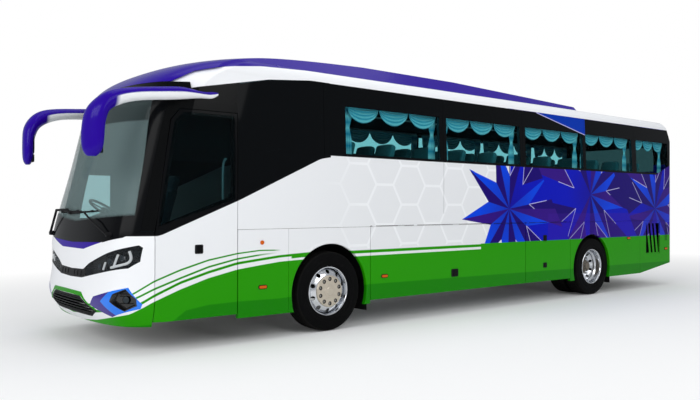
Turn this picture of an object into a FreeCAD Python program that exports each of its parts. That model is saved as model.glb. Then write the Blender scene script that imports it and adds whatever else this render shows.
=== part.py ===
import FreeCAD
import Part
import math
import os

Vector = FreeCAD.Vector

# A single-deck coach, drawn about its front axle: x runs forward from that
# axle, y to the left side, z up from the road. Millimetres.

# Overall sizes
wheelbase = 5980
front_overhang = 2800
rear_overhang = 2970
body_width = 2500
crest_height = 3450
crown_height = 3335
mirror_reach = 3025

# Body walls
wall = 50
glass = 6
seam = 4
door_gap = 8
fit_play = 0.3
overrun = 400

# Cross section of the body
waist_height = 2200
eaves_height = 3080
tumblehome = 35
eaves_round = 115
eaves_rise = 190

# Nose: rows of poles from the underside to the crest, each as a share of the
# front overhang, of the crest height, and how far it follows the upper plan
nose_rows_shares = (
    (0.857, -0.174, 0.5),
    (0.911, 0.023, 0.5),
    (0.993, 0.104, 0.6),
    (1.032, 0.162, 0.6),
    (0.986, 0.232, 0.25),
    (0.996, 0.325, 0.1),
    (0.971, 0.449, 0.45),
    (0.932, 0.609, 0.9),
    (0.9, 0.739, 1),
    (0.857, 0.849, 1),
    (0.721, 0.919, 1),
    (0.518, 0.962, 1),
    (0.214, 0.988, 1),
    (-0.214, 1, 1),
)
# Plan of the nose: shares of the half width, and how far each column falls
# back low on the mask and up at the windscreen, as shares of the corner depth
corner_depth = 1100
plan_half_shares = (1.16, 1.024, 0.896, 0.68, 0.36)
plan_low_shares = (0.773, 0.382, 0.073, 0.027, 0)
plan_high_shares = (1, 0.636, 0.255, 0.118, 0.018)

# Tail of the body, seen from above and from the side
tail_corner = 180
tail_bow = 40
tail_lean = 45
tail_lean_height = 1000
tail_top_height = 2450
tail_top_depth = 850

# Roof seam, where the roof meets the black window band
band_top_height = 3115
band_front_start = 300
band_front_end = 1900
band_front_height = 2860

# Side panels
skirt_height = 290
lower_panel_top = 1300
mask_rear = 2345
door_rear = 1350
second_seam = 1290
arch_panel_front = 643
bay_front = -670
bay_rear = -3985
sweep_start = -7587
sweep_height = 440
tail_seam = 180
tail_cap_front = -8350
tail_cap_half = 1100
belt_height = 2200
belt_knee = 60
belt_front_height = 1245
bay_door_height = 336
flap_front = -3995

# Side windows: front and rear edge of each pane
pane_edges = (
    (-250, -1995),
    (-2140, -3860),
    (-4006, -5654),
    (-5742, -7309),
    (-7468, -8700),
)
pane_bottom = 2225
pane_top = 2850
band_seams = (100, -2068, -3933, -5698, -7388)

# Passenger door
door_bottom = 340
door_top = 2615
door_corner_height = 1270
door_pillar_lean = 222
door_pillar_height = 2500
door_head_run = 85
door_glass_margin = 62
door_glass_low = 1330
door_glass_slope = 280

# Windscreen, half outline: shares of the half width, and heights
screen_half_shares = (0.635, 0.846, 0.936, 0.918, 0.894, 0.882, 0.882, 0.82, 0.667)
screen_heights = (1180, 1232, 1300, 1630, 1990, 2380, 2664, 2907, 2926)
screen_bottom_height = 1155
screen_top_height = 2932
screen_frame = 55

# Headlamps with the strip between them, half outline across and up
lamp_half_shares = (0.276, 0.389, 0.682, 0.882, 0.942, 0.96, 0.95, 0.894, 0.846)
lamp_heights = (868, 937, 1056, 1130, 1155, 1130, 984, 914, 905)
lamp_chin_half = 340
lamp_chin_height = 770
lamp_mid_top = 858
lamp_depth = 120

# Fog lamp pods and the lower grille
pod_half_shares = (0.56, 0.894, 0.954, 0.942, 0.74, 0.50)
pod_heights = (600, 715, 540, 490, 395, 505)
recess_half_shares = (0.80, 0.882, 0.925, 0.925, 0.862, 0.775)
recess_heights = (640, 690, 590, 530, 470, 565)
pod_depth = 70
grille_top_half = 400
grille_mid_half = 710
grille_low_half = 540
grille_top = 583
grille_mid = 440
grille_low = 366
grille_bar = 14
grille_bar_pitch = 34

# Roof fairing
fairing_rise = 30
wing_rear = -5670
wing_tail_height = 3336
wing_crest_rear = -2600
wing_outer_foot = 1100
wing_outer_top = 940
wing_inner = 700
dome_rear = 350
wing_foot_height = 3262
# Lower edge of the fairing over the dome, as shares of the front overhang and
# of the crest height
fairing_edge_shares = ((0.739, 0.85), (0.65, 0.889), (0.419, 0.934), (0.107, 0.9455))

# Roof air unit between the wings
air_front = -900
air_length = 2600
air_half = 620
air_height = 3430
air_chamfer = 60

# Wheels
tyre_radius = 500
tyre_width = 280
tyre_shoulder = 35
bead_radius = 292
rim_flange_radius = 302
rim_wall = 10
tyre_outer = 1225
twin_gap = 50
hub_radius = 110
disc_thickness = 14
disc_radius = 285
hand_hole_radius = 28
hand_hole_circle = 217
hand_hole_count = 10
stud_circle = 167.5
stud_radius = 14
stud_length = 30
stud_count = 10
cap_radius = 62
drum_radius = 205
drum_width = 150
spindle_radius = 45
spindle_play = 0.5
arch_radius = 600
rear_arch_radius = 580
rear_arch_lead = 60
housing_radius = 662
rear_housing_radius = 562
housing_sheet = 6
housing_inner = 548

# Front axle and steering
pivot_half = 860
beam_height = 110
beam_width = 90
beam_web = 26
beam_flange = 28
beam_drop = 70
eye_radius = 55
eye_height = 130
pin_radius = 22
pin_play = 0.5
ear_gap = 6
ear_height = 42
arm_length = 200
arm_half = 18
tie_rod_radius = 17
tie_eye_radius = 28
tie_eye_half = 21
tie_pin_radius = 9

# Rear axle
axle_tube_radius = 75
banjo_radius = 210
banjo_width = 260

# Air springs
spring_radius = 120
spring_neck_radius = 90
spring_half = 420

# Chassis frame
rail_half = 420
rail_width = 70
rail_top = 1000
rail_depth = 180
rail_low_top = 450
rail_low_depth = 110
rail_front = 2300
rail_front_top = 800
rail_front_step = 740
rail_rear = -8500
bearer_bottom = 1182
bearer_width = 70
deck_bottom = 1290
deck_thickness = 30
bearer_places = (1180, 700, -605, -4050, -5250, -6700, -8150)
post_width = 90

# Tow socket behind the rear bumper
tow_height = 530
tow_bore_radius = 20
tow_bore_length = 80
tow_wall = 18
tow_hole_radius = 50

# Luggage bay and floor
bay_plate = 20
deck_front = 1240
deck_rear = -8600
cab_floor_top = 850
cab_floor_rear = 1260
step_treads = (400, 625)
step_depth = 250
step_sheet = 16
well_rear = 1400
well_front = 2230

# Engine and tanks
engine_front = -6900
engine_length = 1500
engine_bottom = 480
engine_height = 680
tank_front = -4080
tank_length = 1050
tank_outer = 1090
tank_bottom = 420
tank_height = 520
tank_round = 70

# Hinges of the lids
hinge_pin = 2.5
hinge_sleeve = 5
hinge_play = 0.4
hinge_sleeve_length = 120
hinge_tab = 60
hinge_gap = 5.5

# Swing arms of the passenger door
post_x = 2270
post_y = 1095
post_radius = 22
arm_reach = 560
arm_swing = 140
arm_elbow = 240
arm_radius = 15
arm_heights = (900, 1200)
post_top = 1330
post_play = 0.4
arm_pin_radius = 9
arm_pin_play = 0.5
arm_eye_radius = 20
arm_eye_height = 40

# Cabin
seat_row_count = 11
seat_front = 150
seat_pitch = 740
seat_half_inner = 190
seat_half_outer = 1060
seat_height = 450
seat_depth = 480
seat_back_height = 1120
seat_back_lean = 200
seat_back_thickness = 110
seat_cushion_thickness = 130
seat_pedestal = 120
driver_y = -640
driver_x = 1950
wheel_x = 2130
wheel_z = 1500
wheel_rim_radius = 230
wheel_grip = 16
wheel_tilt = 35
dash_rear = 2150
dash_top = 1270
curtain_gap = 12
curtain_thickness = 24
valance_drop = 330
drape_width = 230
curtain_top = 2880
curtain_rail_height = 20

# Mirrors: stations along each arm from its tail to the tip of the head, as
# shares of the mirror reach, the half width and the crest height, with the
# half thickness across and along as shares of the head half width, and the
# share of the head's turn toward the driver
mirror_half = 130
mirror_turn_left = 30
mirror_turn_right = 11
mirror_stations_shares = (
    (0.532, 0.996, 0.8145, 0.17, 0.13, 0),
    (0.585, 0.994, 0.807, 0.34, 0.28, 0),
    (0.66, 0.984, 0.807, 0.5, 0.48, 0),
    (0.738, 0.96, 0.8015, 0.58, 0.54, 0),
    (0.86, 0.904, 0.788, 0.64, 0.58, 0.1),
    (0.932, 0.876, 0.761, 0.85, 0.66, 0.5),
    (0.96, 0.862, 0.7275, 1.02, 0.62, 0.9),
    (0.969, 0.854, 0.69, 1.04, 0.54, 1),
    (0.971, 0.848, 0.638, 1, 0.5, 1),
    (0.972, 0.846, 0.6116, 0.74, 0.38, 1),
    (0.972, 0.846, 0.6, 0.36, 0.18, 1),
)

# Rear end
engine_lid_half = 880
engine_lid_bottom = 640
engine_lid_top = 1440
lid_hinge_half = 420
bumper_top = 620
rear_window_half = 900
rear_window_bottom = 2250
rear_window_top = 2850
tail_lamp_inner = 1010
tail_lamp_bottom = 960
tail_lamp_top = 1420
side_grille_front = -7800
side_grille_rear = -8360
side_grille_bottom = 640
side_grille_top = 1270
louvre_count = 3
louvre_thickness = 36
louvre_lean = 110

# Worked out from the sizes above
half_width = body_width / 2
rear_end = -wheelbase - rear_overhang
origin_shift = (wheelbase + rear_overhang + hinge_sleeve - mirror_reach) / 2
far_front = front_overhang + overrun
far_rear = rear_end - overrun
far_top = crest_height + overrun
axle_height = tyre_radius
inner_half = half_width - wall
AHEAD = Vector(1, 0, 0)
LEFT = Vector(0, 1, 0)
UP = Vector(0, 0, 1)
CENTRE = Vector(0, 0, 0)


def box(x0, x1, y0, y1, z0, z1):
    return Part.makeBox(x1 - x0, y1 - y0, z1 - z0, Vector(x0, y0, z0))


def rod(start, direction, length, radius):
    return Part.makeCylinder(radius, length, start, direction)


def ring(start, direction, length, outer, inner):
    return rod(start, direction, length, outer).cut(rod(start, direction, length, inner))


def mirrored(shape):
    return shape.mirror(CENTRE, LEFT)


def fused(shapes):
    whole = shapes[0]
    for shape in shapes[1:]:
        whole = whole.fuse(shape)
    return whole.removeSplitter()


def face_of(points, grow=0):
    face = Part.Face(Part.makePolygon(list(points) + [points[0]]))
    if grow:
        face = face.makeOffset2D(grow, 2)
    return face


def side_slab(outline, y0, y1, grow=0):
    face = face_of([Vector(x, 0, z) for x, z in outline], grow)
    face.translate(Vector(0, y0, 0))
    return face.extrude(Vector(0, y1 - y0, 0))


def end_slab(outline, x0, x1, grow=0):
    face = face_of([Vector(0, y, z) for y, z in outline], grow)
    face.translate(Vector(x0, 0, 0))
    return face.extrude(Vector(x1 - x0, 0, 0))


def plan_slab(outline, z0, z1, grow=0):
    face = face_of([Vector(x, y, 0) for x, y in outline], grow)
    face.translate(Vector(0, 0, z0))
    return face.extrude(Vector(0, 0, z1 - z0))


# The body as solids of the same form, each set in by its inset

def body_section(inset):
    side = half_width - inset
    eaves = side - tumblehome
    edge = eaves - eaves_round
    edge_height = eaves_height + eaves_rise - inset
    foot = Vector(0, side, -overrun)
    waist = Vector(0, side, waist_height)
    start = Vector(0, eaves, eaves_height)
    middle = Vector(0, eaves - eaves_round * 0.24, eaves_height + (eaves_rise - inset) * 0.62)
    end = Vector(0, edge, edge_height)
    crown = Vector(0, 0, crown_height - inset)
    half = [
        Part.makeLine(foot, waist),
        Part.makeLine(waist, start),
        Part.Arc(start, middle, end).toShape(),
    ]
    other = [edge_shape.mirror(CENTRE, LEFT) for edge_shape in half]
    across = Part.Arc(end, crown, Vector(0, -edge, edge_height)).toShape()
    base = Part.makeLine(foot, Vector(0, -side, -overrun))
    edges = Part.sortEdges(half + [across] + other + [base])[0]
    face = Part.Face(Part.Wire(edges))
    face.translate(Vector(far_rear, 0, 0))
    return face.extrude(Vector(far_front - far_rear, 0, 0))


def nose_row_places(inset):
    rows = [(a * front_overhang, h * crest_height) for a, h, w in nose_rows_shares]
    places = []
    for i in range(len(rows)):
        low = rows[max(i - 1, 0)]
        high = rows[min(i + 1, len(rows) - 1)]
        run = high[0] - low[0]
        rise = high[1] - low[1]
        size = math.hypot(run, rise)
        ahead = rows[i][0] - inset * rise / size
        height = rows[i][1] + inset * run / size
        places.append((ahead, height))
    return places


def nose_poles(inset):
    halves = [share * half_width for share in plan_half_shares]
    columns = halves + [-half for half in reversed(halves)]
    low = list(plan_low_shares) + list(reversed(plan_low_shares))
    high = list(plan_high_shares) + list(reversed(plan_high_shares))
    poles = []
    for place, shares in zip(nose_row_places(inset), nose_rows_shares):
        follow = shares[2]
        row = []
        for y, drop_low, drop_high in zip(columns, low, high):
            drop = ((1 - follow) * drop_low + follow * drop_high) * corner_depth
            row.append(Vector(place[0] - drop, y, place[1]))
        poles.append(row)
    return poles


def clamped_knots(count):
    spans = count - 3
    knots = list(range(spans + 1))
    repeats = [4] + [1] * (spans - 1) + [4]
    return knots, repeats


def nose_solid(inset):
    poles = nose_poles(inset)
    row_knots, row_repeats = clamped_knots(len(poles))
    column_knots, column_repeats = clamped_knots(len(poles[0]))
    surface = Part.BSplineSurface()
    surface.buildFromPolesMultsKnots(
        poles, row_repeats, column_repeats, row_knots, column_knots, False, False, 3, 3)
    return surface.toShape().extrude(Vector(far_rear - front_overhang, 0, 0))


def tail_plan(inset):
    end = rear_end + inset
    corner = end + tail_bow + tail_corner
    side = half_width + overrun
    round_start = Vector(corner, half_width - inset, 0)
    turn = tail_corner * (1 - math.sqrt(0.5))
    round_middle = Vector(end + tail_bow + turn, half_width - inset - turn, 0)
    round_end = Vector(end + tail_bow, half_width - inset - tail_corner, 0)
    middle = Vector(end, 0, 0)
    flare = Vector(corner, side, 0)
    front = Vector(far_front, side, 0)
    half = [
        Part.makeLine(front, flare),
        Part.makeLine(flare, round_start),
        Part.Arc(round_start, round_middle, round_end).toShape(),
    ]
    other = [edge.mirror(CENTRE, LEFT) for edge in half]
    bow = Part.Arc(round_end, middle, Vector(round_end.x, -round_end.y, 0)).toShape()
    across = Part.makeLine(front, Vector(far_front, -side, 0))
    wire = Part.Wire(Part.sortEdges(half + [bow] + other + [across])[0])
    face = Part.Face(wire)
    face.translate(Vector(0, 0, -overrun))
    return face.extrude(Vector(0, 0, far_top + overrun))


def tail_profile(inset):
    end = rear_end + inset
    side = half_width + overrun
    low = Vector(end + tail_lean, -side, -overrun)
    lean = Vector(end, -side, tail_lean_height)
    upright = Vector(end, -side, tail_top_height)
    turn = Vector(end + tail_top_depth * 0.36, -side, tail_top_height + (far_top - tail_top_height) * 0.55)
    top = Vector(end + tail_top_depth * 1.3, -side, far_top)
    front_top = Vector(far_front, -side, far_top)
    front_low = Vector(far_front, -side, -overrun)
    edges = [
        Part.makeLine(low, lean),
        Part.makeLine(lean, upright),
        Part.Arc(upright, turn, top).toShape(),
        Part.makeLine(top, front_top),
        Part.makeLine(front_top, front_low),
        Part.makeLine(front_low, low),
    ]
    face = Part.Face(Part.Wire(edges))
    return face.extrude(Vector(0, 2 * side, 0))


def body_solid(inset, nose_inset):
    body = body_section(inset).common(nose_solid(nose_inset))
    return body.common(tail_plan(inset)).common(tail_profile(inset))


# Outlines on the side, as x and z

def roof_seam_outline():
    middle = (band_front_start + band_front_end) / 2
    drop = band_top_height - band_front_height
    return [
        (far_rear, far_top),
        (far_rear, band_top_height),
        (band_front_start, band_top_height),
        (middle - (band_front_end - band_front_start) * 0.12, band_top_height - drop * 0.22),
        (band_front_end, band_front_height),
        (band_front_end, screen_top_height - seam),
        (far_front, screen_top_height - seam),
        (far_front, far_top),
    ]


def door_outline():
    front = mask_rear - door_gap
    pillar_top = front - door_pillar_lean
    return [
        (door_rear, door_bottom),
        (front, door_bottom),
        (front, door_corner_height),
        (pillar_top, door_pillar_height),
        (pillar_top - door_head_run, door_top),
        (door_rear, door_top),
    ]


def door_glass_outline(margin):
    front = mask_rear - door_gap - margin
    pillar_top = front - door_pillar_lean
    return [
        (door_rear + margin, door_glass_low + door_glass_slope + margin),
        (front, door_glass_low + margin / 2),
        (pillar_top, door_pillar_height - margin / 2),
        (pillar_top - door_head_run, door_top - margin),
        (door_rear + margin, door_top - margin),
    ]


def band_outline():
    rear = rear_end + tail_seam + seam
    slope_end = door_rear - door_gap - seam
    slope = (belt_height - belt_front_height) / (mask_rear - belt_knee)
    middle = (band_front_start + band_front_end) / 2
    drop = band_top_height - band_front_height
    front_top = band_top_height - drop * 0.62
    return [
        (rear, belt_height),
        (belt_knee, belt_height),
        (slope_end, belt_height - slope * (slope_end - belt_knee)),
        (slope_end, front_top),
        (middle - (band_front_end - band_front_start) * 0.12, band_top_height - seam - drop * 0.22),
        (band_front_start, band_top_height - seam),
        (rear, band_top_height - seam),
    ]


def lower_zone_outline():
    return [
        (rear_end + tail_seam, sweep_height),
        (sweep_start, skirt_height),
        (mask_rear, skirt_height),
        (mask_rear, lower_panel_top - seam),
        (rear_end + tail_seam, lower_panel_top - seam),
    ]


def bay_outline():
    return [
        (bay_rear, bay_door_height),
        (bay_front, bay_door_height),
        (bay_front, lower_panel_top - hinge_sleeve),
        (bay_rear, lower_panel_top - hinge_sleeve),
    ]


def flap_rear():
    return -wheelbase + rear_arch_lead + rear_arch_radius + 2 * wall


def flap_outline():
    return [
        (flap_rear(), bay_door_height),
        (flap_front, bay_door_height),
        (flap_front, lower_panel_top - hinge_sleeve),
        (flap_rear(), lower_panel_top - hinge_sleeve),
    ]


def side_grille_outline():
    return [
        (side_grille_rear, side_grille_bottom),
        (side_grille_front, side_grille_bottom),
        (side_grille_front, side_grille_top),
        (side_grille_rear, side_grille_top),
    ]


# Outlines on the front, as y and z

def both_halves(halves, heights, low_middle, high_middle):
    left = list(zip(halves, heights))
    right = [(-y, z) for y, z in reversed(left)]
    return [(0, low_middle)] + left + [(0, high_middle)] + right


def screen_outline():
    halves = [share * half_width for share in screen_half_shares]
    return both_halves(halves, screen_heights, screen_bottom_height, screen_top_height)


def lamp_outline():
    halves = [share * half_width for share in lamp_half_shares]
    left = list(zip(halves, lamp_heights)) + [(lamp_chin_half, lamp_chin_height + seam)]
    right = [(-y, z) for y, z in reversed(left)]
    return [(0, lamp_mid_top)] + left + [(0, lamp_chin_height - seam)] + right


def pod_outline(shares, heights):
    return [(share * half_width, z) for share, z in zip(shares, heights)]


def grille_outline():
    left = [(grille_top_half, grille_top), (grille_mid_half, grille_mid), (grille_low_half, grille_low)]
    return left + [(-y, z) for y, z in reversed(left)]


# Skins of the body

outer = body_solid(0, 0)
behind_glass = body_solid(glass, glass)
inner = body_solid(wall, wall)
shell = outer.cut(inner)
skin = outer.cut(behind_glass)
roof_outer = body_solid(0, fairing_rise)
roof_inner = body_solid(wall, fairing_rise + wall)
left_side = box(far_rear, far_front, 0, half_width + overrun, -overrun, far_top)
nodes = {}


def on_left(shape):
    return shape.common(left_side)


def hinge_places(length, count):
    pitch = length / count
    return [pitch * (i + 0.5) for i in range(count)]


def side_hinge(rear, front, height, count):
    length = front - rear
    axis = Vector(rear, half_width, height)
    pin = rod(axis, AHEAD, length, hinge_pin)
    sleeves = []
    tabs = []
    for place in hinge_places(length, count):
        start = rear + place - hinge_sleeve_length / 2
        sleeve = ring(Vector(start, half_width, height), AHEAD, hinge_sleeve_length,
                      hinge_sleeve, hinge_pin + hinge_play)
        sleeves.append(sleeve)
        sleeves.append(box(start, start + hinge_sleeve_length, half_width - hinge_sleeve,
                           half_width + hinge_sleeve / 2, height - 2 * hinge_sleeve,
                           height - hinge_pin))
    for place in [hinge_tab] + hinge_places(length, count - 1) + [length - hinge_tab]:
        start = rear + place - hinge_tab / 2
        tabs.append(box(start, start + hinge_tab, half_width - hinge_sleeve, half_width,
                        height, height + 2 * hinge_sleeve + hinge_gap))
    return fused([pin] + tabs), sleeves


def hinged_panel(outline, height, count):
    panel = on_left(shell).common(side_slab(outline, 0, half_width + overrun))
    rear = outline[0][0] if outline[0][0] < outline[1][0] else outline[1][0]
    front = max(outline[0][0], outline[1][0])
    pin, sleeves = side_hinge(rear, front, height, count)
    clear = rod(Vector(rear, half_width, height), AHEAD, front - rear, hinge_pin + hinge_play)
    panel = fused([panel] + sleeves).cut(clear)
    return panel, pin


# Side walls above the lower panels, with their windows cut

def side_wall():
    rear = rear_end + tail_seam
    zone = side_slab([
        (rear, lower_panel_top),
        (door_rear - door_gap, lower_panel_top),
        (door_rear - door_gap, far_top),
        (rear, far_top),
    ], 0, half_width + overrun)
    zone = zone.cut(box(far_rear, tail_cap_front, 0, tail_cap_half, 0, far_top))
    wall_solid = shell.common(zone).cut(side_slab(roof_seam_outline(), 0, half_width + overrun))
    wall_solid = wall_solid.cut(skin.common(side_slab(band_outline(), 0, half_width + overrun)))
    for front, back in pane_edges:
        opening = box(back, front, inner_half - overrun, half_width + overrun, pane_bottom, pane_top)
        wall_solid = wall_solid.cut(opening)
    hinge_room = hinge_sleeve + hinge_gap
    room = box(flap_rear() - door_gap, bay_front + door_gap, inner_half - overrun,
               half_width + overrun, lower_panel_top - overrun, lower_panel_top + hinge_room)
    return wall_solid.cut(room)


def side_glass():
    band = on_left(skin).common(side_slab(band_outline(), 0, half_width + overrun))
    band = band.cut(box(far_rear, tail_cap_front, 0, tail_cap_half, 0, far_top))
    edges = [door_rear] + list(band_seams) + [far_rear]
    panels = []
    for front, back in zip(edges[:-1], edges[1:]):
        zone = box(back + seam / 2, front - seam / 2, 0, half_width + overrun, 0, far_top)
        panels.append(band.common(zone))
    return Part.makeCompound(panels)


def arch(lead, radius):
    start = Vector(lead, housing_inner - overrun, axle_height)
    return rod(start, LEFT, half_width + 2 * overrun, radius)


def lower_panels():
    zone = side_slab(lower_zone_outline(), 0, half_width + overrun)
    panel = on_left(shell).common(zone)
    panel = panel.cut(arch(0, arch_radius))
    panel = panel.cut(arch(-wheelbase + rear_arch_lead, rear_arch_radius))
    panel = panel.cut(side_slab(side_grille_outline(), 0, half_width + overrun))
    edges = (
        (mask_rear, door_rear - door_gap),
        (door_rear - door_gap - seam, arch_panel_front),
        (arch_panel_front - seam, bay_front + door_gap),
        (flap_rear() - door_gap, sweep_start),
        (sweep_start - seam, rear_end + tail_seam),
    )
    solids = []
    for front, back in edges:
        solids.append(panel.common(box(back, front, 0, half_width + overrun, 0, far_top)))
    return solids


wall_left = side_wall()
bay_door, bay_pin = hinged_panel(bay_outline(), lower_panel_top, 3)
flap, flap_pin = hinged_panel(flap_outline(), lower_panel_top, 2)
wall_left = fused([wall_left, bay_pin, flap_pin])
panels = lower_panels()
glass_left = side_glass()

for name, side in (("left", False), ("right", True)):
    own = panels if side else panels[1:]
    pieces = {
        "side_wall_": wall_left,
        "side_glass_": glass_left,
        "lower_panels_": Part.makeCompound(own),
        "luggage_door_": bay_door,
        "service_flap_": flap,
    }
    for stem, shape in pieces.items():
        nodes[stem + name] = mirrored(shape) if side else shape


# Louvred side grilles at the rear

def side_grille():
    frame = side_slab(side_grille_outline(), inner_half, half_width - glass)
    hole = side_slab(side_grille_outline(), 0, half_width + overrun, -2 * grille_bar)
    frame = frame.cut(hole)
    width = side_grille_front - side_grille_rear
    pitch = width / (louvre_count + 1)
    slats = []
    for i in range(louvre_count):
        x = side_grille_rear + pitch * (i + 1) - louvre_lean / 2
        slats.append(side_slab([
            (x - louvre_thickness, side_grille_bottom + grille_bar),
            (x + louvre_thickness, side_grille_bottom + grille_bar),
            (x + louvre_thickness + louvre_lean, side_grille_top - grille_bar),
            (x - louvre_thickness + louvre_lean, side_grille_top - grille_bar),
        ], inner_half + grille_bar, half_width - 2 * glass))
    return fused([frame] + slats)


grille_left = side_grille()
nodes["side_grilles"] = Part.makeCompound([grille_left, mirrored(grille_left)])


# Roof and its fairing

nodes["roof"] = roof_outer.cut(roof_inner).common(
    side_slab(roof_seam_outline(), -half_width - overrun, half_width + overrun))


def fairing_section():
    slope = (wing_outer_foot - wing_outer_top) / (crest_height - wing_foot_height)
    half = [
        (half_width - tumblehome - seam, eaves_height),
        (wing_outer_foot, wing_foot_height),
        (wing_outer_top - slope * overrun, crest_height + overrun),
    ]
    left = [(half_width - tumblehome - seam, screen_top_height)] + half
    right = [(-y, z) for y, z in reversed(left)]
    return end_slab(left + right, far_rear, far_front)


def fairing_outline():
    slope = (crest_height - wing_tail_height) / (wing_crest_rear - wing_rear)
    edge = [(a * front_overhang, h * crest_height) for a, h in fairing_edge_shares]
    return [
        (wing_rear, wing_foot_height),
        (wing_rear, wing_tail_height),
        (far_front, wing_tail_height + slope * (far_front - wing_rear)),
        (far_front, screen_top_height),
    ] + edge


def roof_fairing():
    side = half_width + overrun
    form = side_slab(fairing_outline(), -side, side).common(fairing_section())
    form = form.common(nose_solid(0)).cut(roof_outer)
    well = box(far_rear, dome_rear, -wing_inner, wing_inner, 0, far_top)
    return form.cut(well)


nodes["roof_fairing"] = roof_fairing()


def air_unit():
    base = box(air_front - air_length, air_front, -air_half, air_half,
               crown_height - wall, air_height)
    edges = [e for e in base.Edges if e.CenterOfMass.z > air_height - air_chamfer]
    return base.makeChamfer(air_chamfer, edges).cut(roof_outer)


nodes["roof_air_unit"] = air_unit()


# Nose: mask, cab frame and windscreen

screen_slab = end_slab(screen_outline(), band_front_end - overrun, far_front)
screen_hole = end_slab(screen_outline(), band_front_end - overrun, far_front, -screen_frame)
screen_seat = end_slab(screen_outline(), band_front_end - overrun, far_front, seam / 2)
nodes["windscreen"] = skin.common(screen_slab)
lamp_slab = end_slab(lamp_outline(), front_overhang - 3 * overrun / 2, far_front)
pod_slab = end_slab(pod_outline(pod_half_shares, pod_heights), front_overhang - 2 * overrun, far_front)
recess_slab = end_slab(
    pod_outline(recess_half_shares, recess_heights), front_overhang - 2 * overrun, far_front)
grille_slab = end_slab(grille_outline(), front_overhang - 2 * overrun, far_front)


def front_mask():
    zone = box(mask_rear, far_front, -half_width - overrun, half_width + overrun,
               skirt_height, lower_panel_top - seam)
    mask = shell.common(zone)
    for cutter in (lamp_slab, pod_slab, mirrored(pod_slab), grille_slab):
        mask = mask.cut(cutter)
    mask = mask.cut(skin.common(screen_seat))
    return mask.cut(screen_hole)


nodes["front_mask"] = front_mask()


def cab_frame():
    side = half_width + overrun
    zone = box(door_rear - door_gap, far_front, -side, side, lower_panel_top, far_top)
    frame = shell.common(zone).cut(side_slab(roof_seam_outline(), -side, side))
    frame = frame.cut(skin.common(screen_seat)).cut(screen_hole)
    frame = frame.cut(side_slab(door_outline(), 0, side, door_gap))
    window = side_slab(door_glass_outline(door_glass_margin), -side, 0)
    pane = skin.common(side_slab(door_glass_outline(door_glass_margin / 2), -side, 0))
    return frame.cut(window).cut(pane)


def post_bracket():
    bracket = box(post_x - post_radius, mask_rear + overrun, post_y - 2 * post_radius,
                  post_y + 2 * post_radius, post_top + post_play,
                  post_top + post_play + step_sheet)
    return bracket.common(inner)


nodes["cab_frame"] = fused([cab_frame(), post_bracket()])
side = half_width + overrun
driver_window = skin.common(
    side_slab(door_glass_outline(door_glass_margin / 2), -side, 0, -seam / 2))
nodes["side_glass_right"] = Part.makeCompound(nodes["side_glass_right"].Solids + [driver_window])


def set_into_nose(slab, depth):
    block = outer.common(slab)
    behind = block.copy()
    behind.translate(Vector(-depth, 0, 0))
    return block.cut(behind)


def lamp_bodies():
    start = front_overhang - 3 * overrun / 2
    return set_into_nose(end_slab(lamp_outline(), start, far_front, -fit_play), lamp_depth)


nodes["headlamps"] = lamp_bodies()


def fog_pods():
    pod = set_into_nose(pod_slab, pod_depth)
    return pod.cut(set_into_nose(recess_slab, pod_depth - 2 * glass))


pod_left = fog_pods()
nodes["fog_pods"] = Part.makeCompound([pod_left, mirrored(pod_left)])


def front_grille():
    start = front_overhang - 2 * overrun
    form = set_into_nose(end_slab(grille_outline(), start, far_front, -fit_play), wall)
    gaps = end_slab(grille_outline(), start, far_front, -2 * grille_bar)
    count = int((grille_top - grille_low) / grille_bar_pitch)
    for i in range(1, count + 1):
        z = grille_low + i * grille_bar_pitch
        gaps = gaps.cut(box(start, far_front, -half_width, half_width, z, z + grille_bar))
    return form.cut(gaps)


nodes["front_grille"] = front_grille()


# Passenger door, its glass and the two swing arms

def arm_open_point(x, y):
    turn = math.radians(arm_swing)
    return (x * math.cos(turn) - y * math.sin(turn), x * math.sin(turn) + y * math.cos(turn))


def door_panel():
    side = half_width + overrun
    panel = on_left(shell).common(side_slab(door_outline(), 0, side))
    panel = panel.cut(skin.common(side_slab(door_glass_outline(door_glass_margin / 2), 0, side)))
    panel = panel.cut(side_slab(door_glass_outline(door_glass_margin), 0, side))
    pin_x = post_x - arm_reach
    parts = [panel]
    for z in arm_heights:
        for level in (z - arm_eye_height / 2 - 2 * pin_play - louvre_thickness, z + arm_eye_height / 2 + 2 * pin_play):
            parts.append(box(pin_x - arm_eye_radius, pin_x + arm_eye_radius,
                             post_y - arm_eye_radius, inner_half + glass,
                             level, level + louvre_thickness))
        parts.append(rod(Vector(pin_x, post_y, z - arm_eye_height), UP,
                         2 * arm_eye_height, arm_pin_radius))
    return fused(parts)


def swing_arm():
    elbow = arm_open_point(0, arm_elbow)
    foot = cab_floor_top + post_play
    parts = [rod(Vector(post_x, post_y, foot), UP, post_top - foot, post_radius)]
    for z in arm_heights:
        root = Vector(post_x, post_y, z)
        bend = Vector(post_x + elbow[0], post_y + elbow[1], z)
        tip = Vector(post_x - arm_reach, post_y, z)
        eye_start = tip - UP * (arm_eye_height / 2)
        parts.append(rod(root, bend - root, (bend - root).Length, arm_radius))
        parts.append(Part.makeSphere(arm_radius, bend))
        parts.append(rod(bend, tip - bend, (tip - bend).Length, arm_radius))
        parts.append(rod(eye_start, UP, arm_eye_height, arm_eye_radius))
    arm = fused(parts)
    for z in arm_heights:
        bore = rod(Vector(post_x - arm_reach, post_y, z - arm_eye_height), UP,
                   2 * arm_eye_height, arm_pin_radius + arm_pin_play)
        arm = arm.cut(bore)
    return arm


nodes["passenger_door"] = door_panel()
nodes["door_glass"] = on_left(skin).common(
    side_slab(door_glass_outline(door_glass_margin / 2), 0, side, -seam / 2))
nodes["door_arm"] = swing_arm()


# Rear end

def rear_zone(z0, z1):
    return box(far_rear, rear_end + tail_seam, -side, side, z0, z1)


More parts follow.
